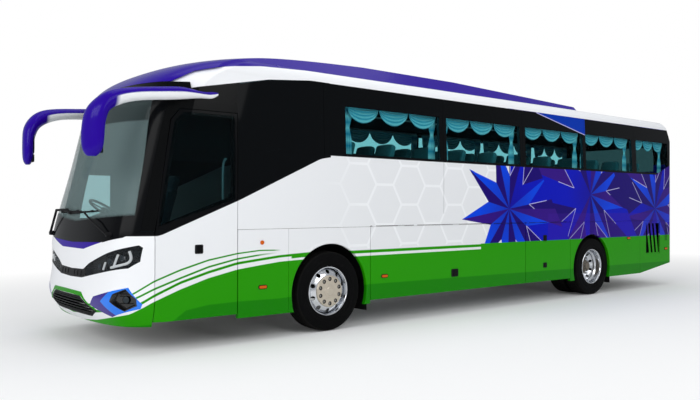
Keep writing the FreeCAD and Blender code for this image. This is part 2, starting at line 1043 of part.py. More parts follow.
def rear_cap():
    return box(rear_end + tail_seam, tail_cap_front, -tail_cap_half, tail_cap_half,
               tail_top_height, far_top)


def rear_slab(half, z0, z1, grow=0):
    return box(far_rear, rear_end + tail_seam + overrun, -half - grow, half + grow, z0 - grow, z1 + grow)


def tail_lamp_slabs(grow=0):
    left = box(far_rear, rear_end + tail_seam - seam + grow, tail_lamp_inner - grow, side,
               tail_lamp_bottom - grow, tail_lamp_top + grow)
    return left, mirrored(left)


def rear_wall():
    rear = shell.common(rear_zone(bumper_top, far_top).fuse(rear_cap()))
    rear = rear.cut(side_slab(roof_seam_outline(), -side, side))
    rear = rear.cut(rear_slab(engine_lid_half, engine_lid_bottom, engine_lid_top, door_gap))
    rear = rear.cut(rear_slab(rear_window_half, rear_window_bottom, rear_window_top, -wall))
    rear = rear.cut(skin.common(rear_slab(rear_window_half, rear_window_bottom, rear_window_top)))
    for slab in tail_lamp_slabs():
        rear = rear.cut(slab)
    return rear


def lid_hinge_pin():
    half = lid_hinge_half
    pin = rod(Vector(rear_end, -half, engine_lid_top), LEFT, 2 * half, hinge_pin)
    tabs = []
    for y in (-half, -hinge_tab / 2, half - hinge_tab):
        tabs.append(box(rear_end, rear_end + 2 * hinge_sleeve, y, y + hinge_tab,
                        engine_lid_top, engine_lid_top + hinge_sleeve + 2 * door_gap))
    return fused([pin] + tabs)


nodes["rear_wall"] = fused([rear_wall(), lid_hinge_pin()])
nodes["rear_window"] = skin.common(
    rear_slab(rear_window_half, rear_window_bottom, rear_window_top, -seam / 2))
nodes["tail_lamps"] = Part.makeCompound([shell.common(slab) for slab in tail_lamp_slabs(-fit_play)])
tow_hole = rod(Vector(far_rear, rail_half, tow_height), AHEAD, 2 * overrun, tow_hole_radius)
nodes["rear_bumper"] = shell.common(rear_zone(sweep_height, bumper_top - seam)).cut(tow_hole)


def lid_sleeves():
    sleeves = []
    for place in (-lid_hinge_half / 2, lid_hinge_half / 2):
        start = place - hinge_sleeve_length / 2
        sleeves.append(rod(Vector(rear_end, start, engine_lid_top), LEFT,
                           hinge_sleeve_length, hinge_sleeve))
        sleeves.append(box(rear_end - hinge_sleeve / 2, rear_end + 2 * hinge_sleeve, start,
                           start + hinge_sleeve_length, engine_lid_top - 2 * hinge_sleeve,
                           engine_lid_top))
    return sleeves


def engine_lid():
    lid = shell.common(rear_slab(engine_lid_half, engine_lid_bottom, engine_lid_top - hinge_sleeve))
    lid = fused([lid] + lid_sleeves())
    lid = lid.cut(rod(Vector(rear_end, -engine_lid_half, engine_lid_top), LEFT,
                      2 * engine_lid_half, hinge_pin + hinge_play))
    pitch = (engine_lid_top - engine_lid_bottom) / (louvre_count + 2)
    for i in range(2, louvre_count + 1):
        z = engine_lid_bottom + pitch * i
        lid = lid.cut(box(far_rear, rear_end + tail_seam, -engine_lid_half * 0.7,
                          engine_lid_half * 0.7, z, z + 2 * louvre_thickness))
    return lid


nodes["engine_lid"] = engine_lid()


# Wheels, turned about the y axis

def turned(outline, centre_x):
    points = [Vector(centre_x, y, axle_height + r) for r, y in outline]
    face = Part.Face(Part.makePolygon(points + [points[0]]))
    return face.revolve(Vector(centre_x, 0, axle_height), LEFT, 360)


def tyre(outer_face, centre_x):
    inner_face = outer_face - tyre_width
    bead_start = outer_face - tyre_shoulder - rim_wall
    bead_end = inner_face + tyre_shoulder + rim_wall
    return turned([
        (bead_radius, bead_start),
        (rim_flange_radius, bead_start),
        (rim_flange_radius + tyre_shoulder, outer_face - tyre_shoulder / 2),
        (tyre_radius - 2 * tyre_shoulder, outer_face),
        (tyre_radius - tyre_shoulder / 2, outer_face - tyre_shoulder / 2),
        (tyre_radius, outer_face - tyre_shoulder),
        (tyre_radius, inner_face + tyre_shoulder),
        (tyre_radius - tyre_shoulder / 2, inner_face + tyre_shoulder / 2),
        (tyre_radius - 2 * tyre_shoulder, inner_face),
        (rim_flange_radius + tyre_shoulder, inner_face + tyre_shoulder / 2),
        (rim_flange_radius, bead_end),
        (bead_radius, bead_end),
    ], centre_x)


def rim_barrel(outer_face, centre_x):
    inner_face = outer_face - tyre_width
    start = outer_face - tyre_shoulder
    end = inner_face + tyre_shoulder
    return turned([
        (rim_flange_radius, start),
        (rim_flange_radius, start + rim_wall),
        (bead_radius - rim_wall, start + rim_wall),
        (bead_radius - rim_wall, end - rim_wall),
        (rim_flange_radius, end - rim_wall),
        (rim_flange_radius, end),
        (bead_radius, end),
        (bead_radius, start),
    ], centre_x)


def wheel_disc(face_y, centre_x):
    disc = rod(Vector(centre_x, face_y - disc_thickness, axle_height), LEFT, disc_thickness, disc_radius)
    for i in range(hand_hole_count):
        angle = 2 * math.pi * (i + 0.5) / hand_hole_count
        x = centre_x + hand_hole_circle * math.cos(angle)
        z = axle_height + hand_hole_circle * math.sin(angle)
        disc = disc.cut(rod(Vector(x, face_y - overrun, z), LEFT, 2 * overrun, hand_hole_radius))
    return disc


def wheel_studs(face_y, centre_x):
    studs = []
    for i in range(stud_count):
        angle = 2 * math.pi * i / stud_count
        x = centre_x + stud_circle * math.cos(angle)
        z = axle_height + stud_circle * math.sin(angle)
        studs.append(rod(Vector(x, face_y - disc_thickness, z), LEFT, stud_length, stud_radius))
    return studs


def hub_with_drum(start, end, centre_x):
    hub = rod(Vector(centre_x, start, axle_height), LEFT, end - start, hub_radius)
    drum = rod(Vector(centre_x, start, axle_height), LEFT, drum_width, drum_radius)
    return [hub, drum]


def front_wheel_metal():
    face_y = tyre_outer - tyre_shoulder
    start = pivot_half + eye_radius + 2 * spindle_radius
    parts = [rim_barrel(tyre_outer, 0), wheel_disc(face_y, 0)]
    parts += wheel_studs(face_y, 0) + hub_with_drum(start, face_y, 0)
    parts.append(rod(Vector(0, face_y - disc_thickness, axle_height), LEFT,
                     stud_length + disc_thickness, cap_radius))
    metal = fused(parts)
    bore = rod(Vector(0, start - overrun, axle_height), LEFT,
               face_y - start + overrun - disc_thickness, spindle_radius + spindle_play)
    return metal.cut(bore)


def rear_wheel_metal():
    inner_tyre = tyre_outer - tyre_width - twin_gap
    face_y = inner_tyre + twin_gap / 2 + disc_thickness
    start = inner_tyre - tyre_width
    parts = [rim_barrel(tyre_outer, -wheelbase), rim_barrel(inner_tyre, -wheelbase)]
    parts += [wheel_disc(face_y, -wheelbase)] + wheel_studs(face_y, -wheelbase)
    parts += hub_with_drum(start + drum_width / 2, face_y, -wheelbase)
    parts.append(rod(Vector(-wheelbase, face_y - disc_thickness, axle_height), LEFT,
                     disc_thickness + drum_width, cap_radius * 1.7))
    link = ring(Vector(-wheelbase, inner_tyre - tyre_shoulder, axle_height), LEFT,
                twin_gap + 2 * tyre_shoulder, bead_radius, bead_radius - rim_wall)
    metal = fused(parts + [link])
    bore = rod(Vector(-wheelbase, start, axle_height), LEFT, face_y - start - disc_thickness,
               axle_tube_radius + spindle_play)
    return metal.cut(bore)


front_tyre = tyre(tyre_outer, 0)
front_metal = front_wheel_metal()
rear_metal = rear_wheel_metal()
twin_tyres = Part.makeCompound([
    tyre(tyre_outer, -wheelbase),
    tyre(tyre_outer - tyre_width - twin_gap, -wheelbase),
])
for name, side_is_right in (("left", False), ("right", True)):
    pieces = {
        "front_tyre_": front_tyre,
        "front_wheel_": front_metal,
        "rear_tyres_": twin_tyres,
        "rear_wheels_": rear_metal,
    }
    for stem, shape in pieces.items():
        nodes[stem + name] = mirrored(shape) if side_is_right else shape


# Front axle, knuckles and tie rod

def front_axle():
    low = axle_height - beam_drop
    half_beam = pivot_half - eye_radius / 2
    knee = spring_half + spring_radius
    web = end_slab([
        (-half_beam, axle_height - beam_height / 2),
        (-knee, low - beam_height / 2),
        (knee, low - beam_height / 2),
        (half_beam, axle_height - beam_height / 2),
        (half_beam, axle_height + beam_height / 2),
        (knee, low + beam_height / 2),
        (-knee, low + beam_height / 2),
        (-half_beam, axle_height + beam_height / 2),
    ], -beam_web / 2, beam_web / 2)
    flange_slab = end_slab([
        (-half_beam, axle_height - beam_height / 2),
        (-knee, low - beam_height / 2),
        (knee, low - beam_height / 2),
        (half_beam, axle_height - beam_height / 2),
        (half_beam, axle_height + beam_height / 2),
        (knee, low + beam_height / 2),
        (-knee, low + beam_height / 2),
        (-half_beam, axle_height + beam_height / 2),
    ], -beam_width / 2, beam_width / 2)
    pocket = end_slab([
        (-half_beam, axle_height - beam_height / 2 + beam_flange),
        (-knee, low - beam_height / 2 + beam_flange),
        (knee, low - beam_height / 2 + beam_flange),
        (half_beam, axle_height - beam_height / 2 + beam_flange),
        (half_beam, axle_height + beam_height / 2 - beam_flange),
        (knee, low + beam_height / 2 - beam_flange),
        (-knee, low + beam_height / 2 - beam_flange),
        (-half_beam, axle_height + beam_height / 2 - beam_flange),
    ], -overrun, overrun)
    beam = fused([web, flange_slab.cut(pocket)])
    eyes = []
    bores = []
    for y in (-pivot_half, pivot_half):
        eyes.append(rod(Vector(0, y, axle_height - eye_height / 2), UP, eye_height, eye_radius))
        bores.append(rod(Vector(0, y, axle_height - eye_height), UP, 2 * eye_height,
                         pin_radius + pin_play))
    axle = fused([beam] + eyes)
    for bore in bores:
        axle = axle.cut(bore)
    return axle


def tie_rod_height():
    arm_bottom = axle_height - eye_height / 2 - ear_gap - ear_height
    return arm_bottom - ear_gap - tie_eye_half


def knuckle():
    top = axle_height + eye_height / 2 + ear_gap
    low = axle_height - eye_height / 2 - ear_gap - ear_height
    web_start = pivot_half + eye_radius + ear_gap
    web_end = web_start + 2 * beam_web
    reach = web_end - pivot_half
    parts = []
    for z in (top, low):
        parts.append(rod(Vector(0, pivot_half, z), UP, ear_height, eye_radius))
        parts.append(box(-eye_radius, eye_radius, pivot_half, pivot_half + reach, z, z + ear_height))
    parts.append(box(-eye_radius, eye_radius, web_start, web_end, low, top + ear_height))
    parts.append(rod(Vector(0, pivot_half, low), UP, top + ear_height - low, pin_radius))
    face_y = tyre_outer - tyre_shoulder
    parts.append(rod(Vector(0, web_start, axle_height), LEFT,
                     face_y - 2 * disc_thickness - web_start, spindle_radius))
    parts.append(box(-arm_length - arm_half, 0, pivot_half - arm_half, pivot_half + arm_half,
                     low, low + ear_height / 2))
    pin_foot = tie_rod_height() - tie_eye_half
    parts.append(rod(Vector(-arm_length, pivot_half, pin_foot), UP, low + seam - pin_foot,
                     tie_pin_radius))
    parts.append(rod(Vector(-arm_length, pivot_half, low), UP, ear_height / 2, 2 * arm_half))
    return fused(parts)


def tie_rod():
    z = tie_rod_height()
    bar = rod(Vector(-arm_length, -pivot_half, z), LEFT, 2 * pivot_half, tie_rod_radius)
    parts = [bar]
    for y in (-pivot_half, pivot_half):
        parts.append(rod(Vector(-arm_length, y, z - tie_eye_half), UP, 2 * tie_eye_half,
                         tie_eye_radius))
    bar = fused(parts)
    for y in (-pivot_half, pivot_half):
        bar = bar.cut(rod(Vector(-arm_length, y, z - overrun), UP, 2 * overrun,
                          tie_pin_radius + pin_play))
    return bar


nodes["front_axle"] = front_axle()
knuckle_left = knuckle()
nodes["knuckle_left"] = knuckle_left
nodes["knuckle_right"] = mirrored(knuckle_left)
nodes["tie_rod"] = tie_rod()


# Rear axle and air springs

def rear_axle():
    inner_tyre = tyre_outer - tyre_width - twin_gap
    end = inner_tyre + twin_gap / 2 - 2 * disc_thickness
    tube = rod(Vector(-wheelbase, -end, axle_height), LEFT, 2 * end, axle_tube_radius)
    banjo = rod(Vector(-wheelbase - banjo_width / 2, 0, axle_height), AHEAD, banjo_width, banjo_radius)
    pads = []
    for y in (-spring_half, spring_half):
        pads.append(box(-wheelbase - spring_neck_radius, -wheelbase + spring_neck_radius,
                        y - spring_neck_radius, y + spring_neck_radius,
                        axle_height, axle_height + axle_tube_radius + step_sheet))
    return fused([tube, banjo] + pads)


nodes["rear_axle"] = rear_axle()


def air_spring(x, y, bottom, top):
    height = top - bottom
    points = [
        Vector(x, y, bottom),
        Vector(x + spring_neck_radius, y, bottom),
        Vector(x + spring_neck_radius, y, bottom + height * 0.2),
        Vector(x + spring_radius, y, bottom + height * 0.4),
        Vector(x + spring_radius, y, bottom + height * 0.8),
        Vector(x + spring_neck_radius, y, top),
        Vector(x, y, top),
    ]
    face = Part.Face(Part.makePolygon(points + [points[0]]))
    return face.revolve(Vector(x, y, 0), UP, 360)


front_seat = axle_height - beam_drop + beam_height / 2
rear_seat = axle_height + axle_tube_radius + step_sheet
rail_bottom = rail_top - rail_depth
nodes["air_springs"] = Part.makeCompound(
    [air_spring(0, y, front_seat, rail_bottom) for y in (-spring_half, spring_half)]
    + [air_spring(-wheelbase, y, rear_seat, rail_bottom) for y in (-spring_half, spring_half)])


# Chassis frame, floors and the luggage bay

def rail():
    low_top = rail_low_top
    low = rail_low_top - rail_low_depth
    outline = [
        (rail_rear, rail_top - rail_depth),
        (rail_rear, rail_top),
        (bay_rear - bay_plate, rail_top),
        (bay_rear - bay_plate, low_top),
        (bay_front, low_top),
        (bay_front, rail_top),
        (rail_front_step, rail_top),
        (rail_front_step, rail_front_top),
        (rail_front, rail_front_top),
        (rail_front, rail_front_top - rail_depth),
        (rail_front_step - rail_width, rail_front_top - rail_depth),
        (rail_front_step - 2 * rail_width, rail_bottom),
        (bay_front + post_width, rail_bottom),
        (bay_front + post_width, low),
        (bay_rear - bay_plate - post_width, low),
        (bay_rear - bay_plate - post_width, rail_bottom),
    ]
    return side_slab(outline, rail_half - rail_width / 2, rail_half + rail_width / 2)


def chassis_frame():
    left = rail()
    parts = [left, mirrored(left)]
    for x in bearer_places:
        parts.append(box(x - bearer_width / 2, x + bearer_width / 2, -inner_half, inner_half,
                         bearer_bottom, deck_bottom))
        for y in (-rail_half, rail_half):
            foot = rail_front_top if x > rail_front_step else rail_top
            parts.append(box(x - bearer_width / 2, x + bearer_width / 2, y - rail_width / 2,
                             y + rail_width / 2, foot - rail_width, bearer_bottom))
    parts.append(box(rail_front - post_width, rail_front, -rail_half, rail_half,
                     rail_front_top - rail_depth, rail_front_top))
    parts.append(box(rail_rear, rail_rear + post_width, -rail_half, rail_half, rail_bottom, rail_top))
    parts.append(box(rail_rear, rail_rear + post_width, rail_half - rail_width / 2,
                     rail_half + rail_width / 2, tow_height - rail_width / 2, rail_top))
    mouth = Vector(rail_rear - tow_bore_length, rail_half, tow_height)
    parts.append(rod(mouth, AHEAD, tow_bore_length + post_width, tow_bore_radius + tow_wall))
    return fused(parts).cut(rod(mouth, AHEAD, tow_bore_length, tow_bore_radius))


nodes["chassis_frame"] = chassis_frame()


def deck():
    half = inner_half
    plate = box(deck_rear, deck_front, -half, half, deck_bottom, deck_bottom + deck_thickness)
    return plate.common(inner)


nodes["floor_deck"] = deck()


def luggage_bay():
    low = rail_low_top
    floor_top = low + bay_plate
    half = inner_half - door_gap
    floor = box(bay_rear, bay_front, -half, half, low, floor_top)
    front = box(bay_front - bay_plate, bay_front, -half, half, low, deck_bottom)
    rear = box(bay_rear - bay_plate, bay_rear, -half, half, low, deck_bottom)
    tray = fused([floor, front, rear])
    return tray.cut(nodes["chassis_frame"])


nodes["luggage_bay"] = luggage_bay()


def wheel_housing(centre_x, radius, top_limit):
    start = Vector(centre_x, housing_inner, axle_height)
    width = inner_half - housing_inner
    sheet = ring(start, LEFT, width, radius + housing_sheet, radius)
    plate = rod(start, LEFT, housing_sheet, radius + housing_sheet)
    low = box(centre_x - 2 * radius, centre_x + 2 * radius, 0, side, -overrun, axle_height)
    notch_half = axle_tube_radius + 2 * wall
    notch = box(centre_x - notch_half, centre_x + notch_half, 0, housing_inner + 2 * housing_sheet,
                -overrun, axle_height + notch_half)
    return fused([sheet, plate]).cut(low).cut(notch)


front_housing = wheel_housing(0, housing_radius, bearer_bottom)
rear_housing = wheel_housing(-wheelbase, rear_housing_radius, bearer_bottom)
nodes["wheel_housings"] = Part.makeCompound([
    front_housing, mirrored(front_housing), rear_housing, mirrored(rear_housing)])


def cab_floor():
    plate = box(cab_floor_rear, mask_rear + wall, -inner_half, inner_half,
                cab_floor_top - deck_thickness, cab_floor_top)
    well = box(well_rear, well_front, inner_half - 2 * step_depth, inner_half, 0, far_top)
    riser = box(deck_front, deck_front + step_sheet, -inner_half, inner_half,
                cab_floor_top - deck_thickness, deck_bottom + deck_thickness)
    middle_step = box(deck_front, deck_front + step_depth, -seat_half_inner, inner_half * 0.4,
                      cab_floor_top, (cab_floor_top + deck_bottom) / 2)
    return fused([plate.cut(well), riser, middle_step.common(inner)]).common(inner)


nodes["cab_floor"] = cab_floor()


def entry_steps():
    y1 = inner_half - step_depth
    y2 = y1 - step_depth
    low, middle = step_treads
    top = cab_floor_top - deck_thickness
    sheet = step_sheet
    outline = [
        (inner_half - door_gap, low),
        (y1, low),
        (y1, middle),
        (y2, middle),
        (y2, top),
        (y2 - sheet, top),
        (y2 - sheet, middle - sheet),
        (y1 - sheet, middle - sheet),
        (y1 - sheet, low - sheet),
        (inner_half - door_gap, low - sheet),
    ]
    stair = end_slab(outline, well_rear, well_front)
    cheeks = []
    for x in (well_rear, well_front - sheet):
        cheeks.append(box(x, x + sheet, y2, inner_half - door_gap, low - sheet, top))
    return fused([stair] + cheeks)


nodes["entry_steps"] = entry_steps()


# Engine and the tanks behind the service flaps

nodes["engine_block"] = box(engine_front - engine_length, engine_front,
                            -rail_half + rail_width / 2, rail_half - rail_width / 2,
                            engine_bottom, engine_bottom + engine_height)


def side_tank():
    tank = box(tank_front - tank_length, tank_front, rail_half + rail_width / 2, tank_outer,
               tank_bottom, tank_bottom + tank_height)
    edges = [e for e in tank.Edges if abs(e.tangentAt(e.FirstParameter).x) > 0.9]
    return tank.makeFillet(tank_round, edges)


tank_left = side_tank()
nodes["side_tanks"] = Part.makeCompound([tank_left, mirrored(tank_left)])


# Cabin: seats, driver's place, curtains

def seat_profile(x, floor):
    cushion_top = floor + seat_height
    cushion_low = cushion_top - seat_cushion_thickness
    back_foot = x - seat_depth
    back_top = floor + seat_back_height
    return [
        (x, cushion_low),
        (x, cushion_top),
        (back_foot + seat_back_thickness, cushion_top),
        (back_foot - seat_back_lean + seat_back_thickness, back_top),
        (back_foot - seat_back_lean, back_top),
        (back_foot, cushion_low),
        (back_foot + seat_pedestal, cushion_low),
        (back_foot + seat_pedestal, floor),
        (x - seat_pedestal, floor),
        (x - seat_pedestal, cushion_low),
    ]


def passenger_seats():
    floor = deck_bottom + deck_thickness
    seats = []
    for i in range(seat_row_count):
        x = seat_front - i * seat_pitch
        seats.append(side_slab(seat_profile(x, floor), seat_half_inner, seat_half_outer))
    return Part.makeCompound(seats)


seats_left = passenger_seats()
nodes["passenger_seats"] = Part.makeCompound([seats_left, mirrored(seats_left)])
driver_half = (seat_half_outer - seat_half_inner) / 4
nodes["driver_seat"] = side_slab(seat_profile(driver_x, cab_floor_top),
                                 driver_y - driver_half, driver_y + driver_half)


def dashboard():
    form = side_slab([
        (dash_rear, dash_top - 2 * wall),
        (dash_rear + wall, dash_top),
        (far_front, dash_top),
        (far_front, cab_floor_top),
        (dash_rear + 2 * wall, cab_floor_top),
    ], -inner_half, inner_half * 0.62)
    return form.common(body_solid(wall + glass, lamp_depth + door_gap))


nodes["dashboard"] = dashboard()


def steering_wheel():
    lean = math.radians(wheel_tilt)
    axis = Vector(-math.sin(lean), 0, math.cos(lean))
    centre = Vector(wheel_x, driver_y, wheel_z)
    rim = Part.makeTorus(wheel_rim_radius, wheel_grip, centre, axis)
    boss = rod(centre - axis * (2 * wheel_grip), axis, 3 * wheel_grip, 4 * wheel_grip)
    parts = [rim, boss]
    for turn in (90, 210, 330):
        spoke = Vector(math.cos(math.radians(turn)) * math.cos(lean), math.sin(math.radians(turn)),
                       math.cos(math.radians(turn)) * math.sin(lean))
        parts.append(rod(centre, spoke, wheel_rim_radius, wheel_grip / 2))
    column = rod(centre, axis * -1, 3 * wheel_rim_radius, 2 * wheel_grip)
    return fused(parts + [column]).cut(nodes["dashboard"])


nodes["steering_wheel"] = steering_wheel()


def wall_inner_at(height):
    return inner_half - tumblehome * (height - waist_height) / (eaves_height - waist_height)


def curtains():
    rails = []
    cloths = []
    outer_y = inner_half - curtain_gap
    inner_y = outer_y - curtain_thickness
    for front, back in pane_edges:
        rail_top_z = curtain_top + curtain_rail_height
        low_y = inner_y - tumblehome
        rails.append(box(back, front, low_y - 2 * curtain_thickness, wall_inner_at(rail_top_z),
                         curtain_top, rail_top_z))
        top = curtain_top - fit_play
        cloths.append(box(back, front, low_y, low_y + curtain_thickness, top - valance_drop, top))
        for start in (back, front - drape_width):
            cloths.append(box(start, start + drape_width, low_y - 2 * curtain_thickness,
                              low_y - curtain_thickness / 2, pane_bottom - wall, top))
    return rails, cloths


rails_left, cloths_left = curtains()
nodes["curtain_rails"] = Part.makeCompound(rails_left + [mirrored(r) for r in rails_left])
nodes["curtains"] = Part.makeCompound(cloths_left + [mirrored(cloth) for cloth in cloths_left])


# Mirrors and wipers

def mirror_section(place, direction, across, along, turn):
    back = Vector(direction.z, 0, -direction.x)
    back.normalize()
    sideways = direction.cross(back)
    sideways.normalize()
    wide = sideways * math.cos(turn) + back * math.sin(turn)
    deep = back * math.cos(turn) - sideways * math.sin(turn)
    ellipse = Part.Ellipse(place + wide * across, place + deep * along, place)
    return Part.Wire(ellipse.toShape())


def mirror(head_turn):
    stations = []
    for a, h, z, across, along, turned in mirror_stations_shares:
        stations.append((Vector(a * mirror_reach, h * half_width, z * crest_height),
                         across * mirror_half, along * mirror_half,
                         math.radians(turned * head_turn)))
    wires = []
    for i, (place, across, along, turn) in enumerate(stations):
        before = stations[max(i - 1, 0)][0]
        after = stations[min(i + 1, len(stations) - 1)][0]
        direction = (after - before).normalize()
        wires.append(mirror_section(place, direction, max(across, along + seam), along, turn))
    arm = Part.makeLoft(wires, True, False)
    reach = max(point.x for point in arm.tessellate(seam / 8)[0])
    ahead = Vector(mirror_reach - reach, 0, 0)
    arm.translate(ahead)
    foot = stations[1][0] + ahead
    stalk = box(foot.x - mirror_half, foot.x + mirror_half / 2, foot.y - 2 * mirror_half, foot.y,
                foot.z - seam, foot.z + 2 * seam)
    return arm.fuse(stalk).cut(outer)


nodes["mirror_left"] = mirror(mirror_turn_left)
nodes["mirror_right"] = mirrored(mirror(mirror_turn_right))


def write_all():
    os.makedirs("parts", exist_ok=True)
    for name, shape in nodes.items():
        placed = shape.copy()
        placed.translate(Vector(origin_shift, 0, 0))
        placed.exportStep("parts/" + name + ".step")


write_all()
for name, shape in nodes.items():
    solids = shape.Solids
    bounds = shape.BoundBox
    print(name, "solids", len(solids), "valid", shape.isValid(),
          "litres", round(shape.Volume / 1e6, 2),
          [round(v) for v in (bounds.XMin, bounds.XMax, bounds.YMin, bounds.YMax, bounds.ZMin, bounds.ZMax)])
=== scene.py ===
import math
import bmesh
import bpy
from mathutils import Matrix, Quaternion, Vector
from mathutils.bvhtree import BVHTree


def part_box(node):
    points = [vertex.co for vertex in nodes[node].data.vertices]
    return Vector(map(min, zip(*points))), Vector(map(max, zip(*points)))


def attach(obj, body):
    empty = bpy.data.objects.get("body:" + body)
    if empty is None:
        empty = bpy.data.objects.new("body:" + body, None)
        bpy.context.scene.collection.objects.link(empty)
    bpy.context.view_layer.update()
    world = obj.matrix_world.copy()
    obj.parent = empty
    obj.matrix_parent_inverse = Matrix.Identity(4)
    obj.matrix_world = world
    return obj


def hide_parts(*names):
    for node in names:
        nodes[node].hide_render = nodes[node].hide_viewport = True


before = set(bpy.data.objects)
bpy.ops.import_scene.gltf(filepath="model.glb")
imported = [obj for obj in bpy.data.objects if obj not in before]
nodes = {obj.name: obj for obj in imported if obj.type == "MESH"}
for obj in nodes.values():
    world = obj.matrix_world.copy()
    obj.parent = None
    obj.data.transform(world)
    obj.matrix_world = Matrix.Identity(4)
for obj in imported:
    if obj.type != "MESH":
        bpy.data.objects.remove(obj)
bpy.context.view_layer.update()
scene = bpy.context.scene


# The camera stands ahead of the coach on its door side, at eye height and
# almost level, with the photograph's own angle of view.
front_axle_x = sum(corner[0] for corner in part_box("front_axle")) / 2
eye = Vector((front_axle_x + 5.6293, 8.3729, 1.5776))
heading = -2.26610
upward = 0.00738
roll = 0.00277


def linked(name, data):
    made = bpy.data.objects.new(name, data)
    scene.collection.objects.link(made)
    return made


camera_data = bpy.data.cameras.new("camera")
camera_data.sensor_width = 36
camera_data.lens = 37.213
camera_data.clip_end = 200
camera = linked("camera", camera_data)
level = math.cos(upward)
sight = Vector((math.cos(heading) * level, math.sin(heading) * level, math.sin(upward)))
camera.rotation_mode = "QUATERNION"
camera.rotation_quaternion = sight.to_track_quat("-Z", "Y") @ Quaternion((0, 0, 1), roll)
camera.location = eye
scene.camera = camera


# The floor is a plain pale sheet. Its own tone is lifted for the camera, so
# that only the shadow under the coach shows on it.
floor_reach = 70
lift_middle = 6.0
lift_width = 7.0


# One value that changes over a surface. Sums on it add nodes to its material.
class Field:
    def __init__(self, finish, socket):
        self.finish = finish
        self.socket = socket

    def beside(self, output):
        return Field(self.finish, self.socket.node.outputs[output])

    def math(self, operation, *values, clamp=False):
        settings = {"operation": operation, "use_clamp": clamp}
        return self.finish.node("ShaderNodeMath", settings, dict(enumerate(values)))

    def __add__(self, other):
        return self.math("ADD", self, other)

    __radd__ = __add__

    def __sub__(self, other):
        return self.math("SUBTRACT", self, other)

    def __rsub__(self, other):
        return self.math("SUBTRACT", other, self)

    def __mul__(self, other):
        return self.math("MULTIPLY", self, other)

    __rmul__ = __mul__

    def __truediv__(self, other):
        return self.math("DIVIDE", self, other)

    def __abs__(self):
        return self.math("ABSOLUTE", self)

    def floor(self):
        return self.math("FLOOR", self)

    def fraction(self):
        return self.math("FRACT", self)

    def root(self):
        return self.math("SQRT", self)

    def most(self, other):
        return self.math("MAXIMUM", self, other)

    def above(self, edge, soft=0.004):
        return self.math("ADD", (self - edge) / soft, 0.5, clamp=True)

    def below(self, edge, soft=0.004):
        return 1 - self.above(edge, soft)

    def between(self, low, high, soft=0.004):
        return self.above(low, soft) * self.below(high, soft)


# One material, made of nodes. A node takes its settings and then its values.
class Finish:
    def __init__(self, name):
        self.material = bpy.data.materials.new(name)
        self.material.use_nodes = True
        self.tree = self.material.node_tree
        self.tree.nodes.clear()

    def node(self, kind, settings=(), values=(), output=0):
        made = self.tree.nodes.new(kind)
        for key, value in dict(settings).items():
            if key == "stops":
                ramp = made.color_ramp
                while len(ramp.elements) < len(value):
                    ramp.elements.new(1)
                for stop, (place, tone) in zip(ramp.elements, value):
                    stop.position = place
                    stop.color = tone
            elif key == "curve":
                points = made.mapping.curves[0].points
                while len(points) < len(value):
                    points.new(0.5, 0.5)
                for point, place in zip(points, value):
                    point.location = place
                    point.handle_type = "VECTOR"
                made.mapping.update()
            else:
                setattr(made, key, value)
        for key, value in dict(values).items():
            if isinstance(value, Field):
                self.tree.links.new(value.socket, made.inputs[key])
            else:
                made.inputs[key].default_value = value
        return Field(self, made.outputs[output] if made.outputs else None)

    def split(self, vector):
        x = self.node("ShaderNodeSeparateXYZ", {}, {0: vector})
        return [x, x.beside("Y"), x.beside("Z")]

    def place(self):
        return self.split(self.spot())

    def spot(self):
        return self.node("ShaderNodeTexCoord", output="Object")

    def facing(self):
        return self.split(self.node("ShaderNodeNewGeometry", output="Normal"))

    def noise(self, scale, detail=3.0, roughness=0.5):
        values = {"Vector": self.spot(), "Scale": scale, "Detail": detail, "Roughness": roughness}
        return self.node("ShaderNodeTexNoise", {}, values)

    def mix(self, mask, first, second):
        return self.node("ShaderNodeMix", {"data_type": "RGBA"}, {0: mask, 6: first, 7: second}, 2)

    def bump(self, height, strength, distance):
        return self.node("ShaderNodeBump", {}, {"Height": height, "Strength": strength, "Distance": distance})

    def plain(self, values):
        named = {key.replace("_", " "): value for key, value in values.items()}
        return self.node("ShaderNodeBsdfPrincipled", {}, named)

    def surface(self, **values):
        return self.finished(self.plain(values))

    def tinted(self, clear, tint, **values):
        glass = self.node("ShaderNodeBsdfTransparent", {}, {"Color": tint})
        both = {0: clear, 1: self.plain(values), 2: glass}
        return self.finished(self.node("ShaderNodeMixShader", {}, both))

    def finished(self, shader):
        self.node("ShaderNodeOutputMaterial", {}, {"Surface": shader})
        return self.material


def pale_floor():
    finish = Finish("pale_floor")
    seen = finish.node("ShaderNodeLightPath", output="Is Camera Ray")
    x, y, z = finish.place()
    distance = (x * x * 0.35 + y * y).root()
    fade = 0.03 + distance.above(lift_middle, lift_width) * 0.97
    dull = finish.node("ShaderNodeBsdfDiffuse", {}, {"Color": (0.9, 0.9, 0.9, 1)})
    lift = finish.node("ShaderNodeEmission", {}, {"Color": (1, 1, 1, 1), "Strength": 1.0})
    both = finish.node("ShaderNodeMixShader", {}, {0: seen * fade, 1: dull, 2: lift})
    return finish.finished(both)


def meshed(name, build):
    mesh = bpy.data.meshes.new(name)
    build.to_mesh(mesh)
    build.free()
    return mesh


build = bmesh.new()
bmesh.ops.create_grid(build, x_segments=1, y_segments=1, size=floor_reach)
floor_mesh = meshed("floor", build)
floor_mesh.materials.append(pale_floor())
floor = linked("floor", floor_mesh)


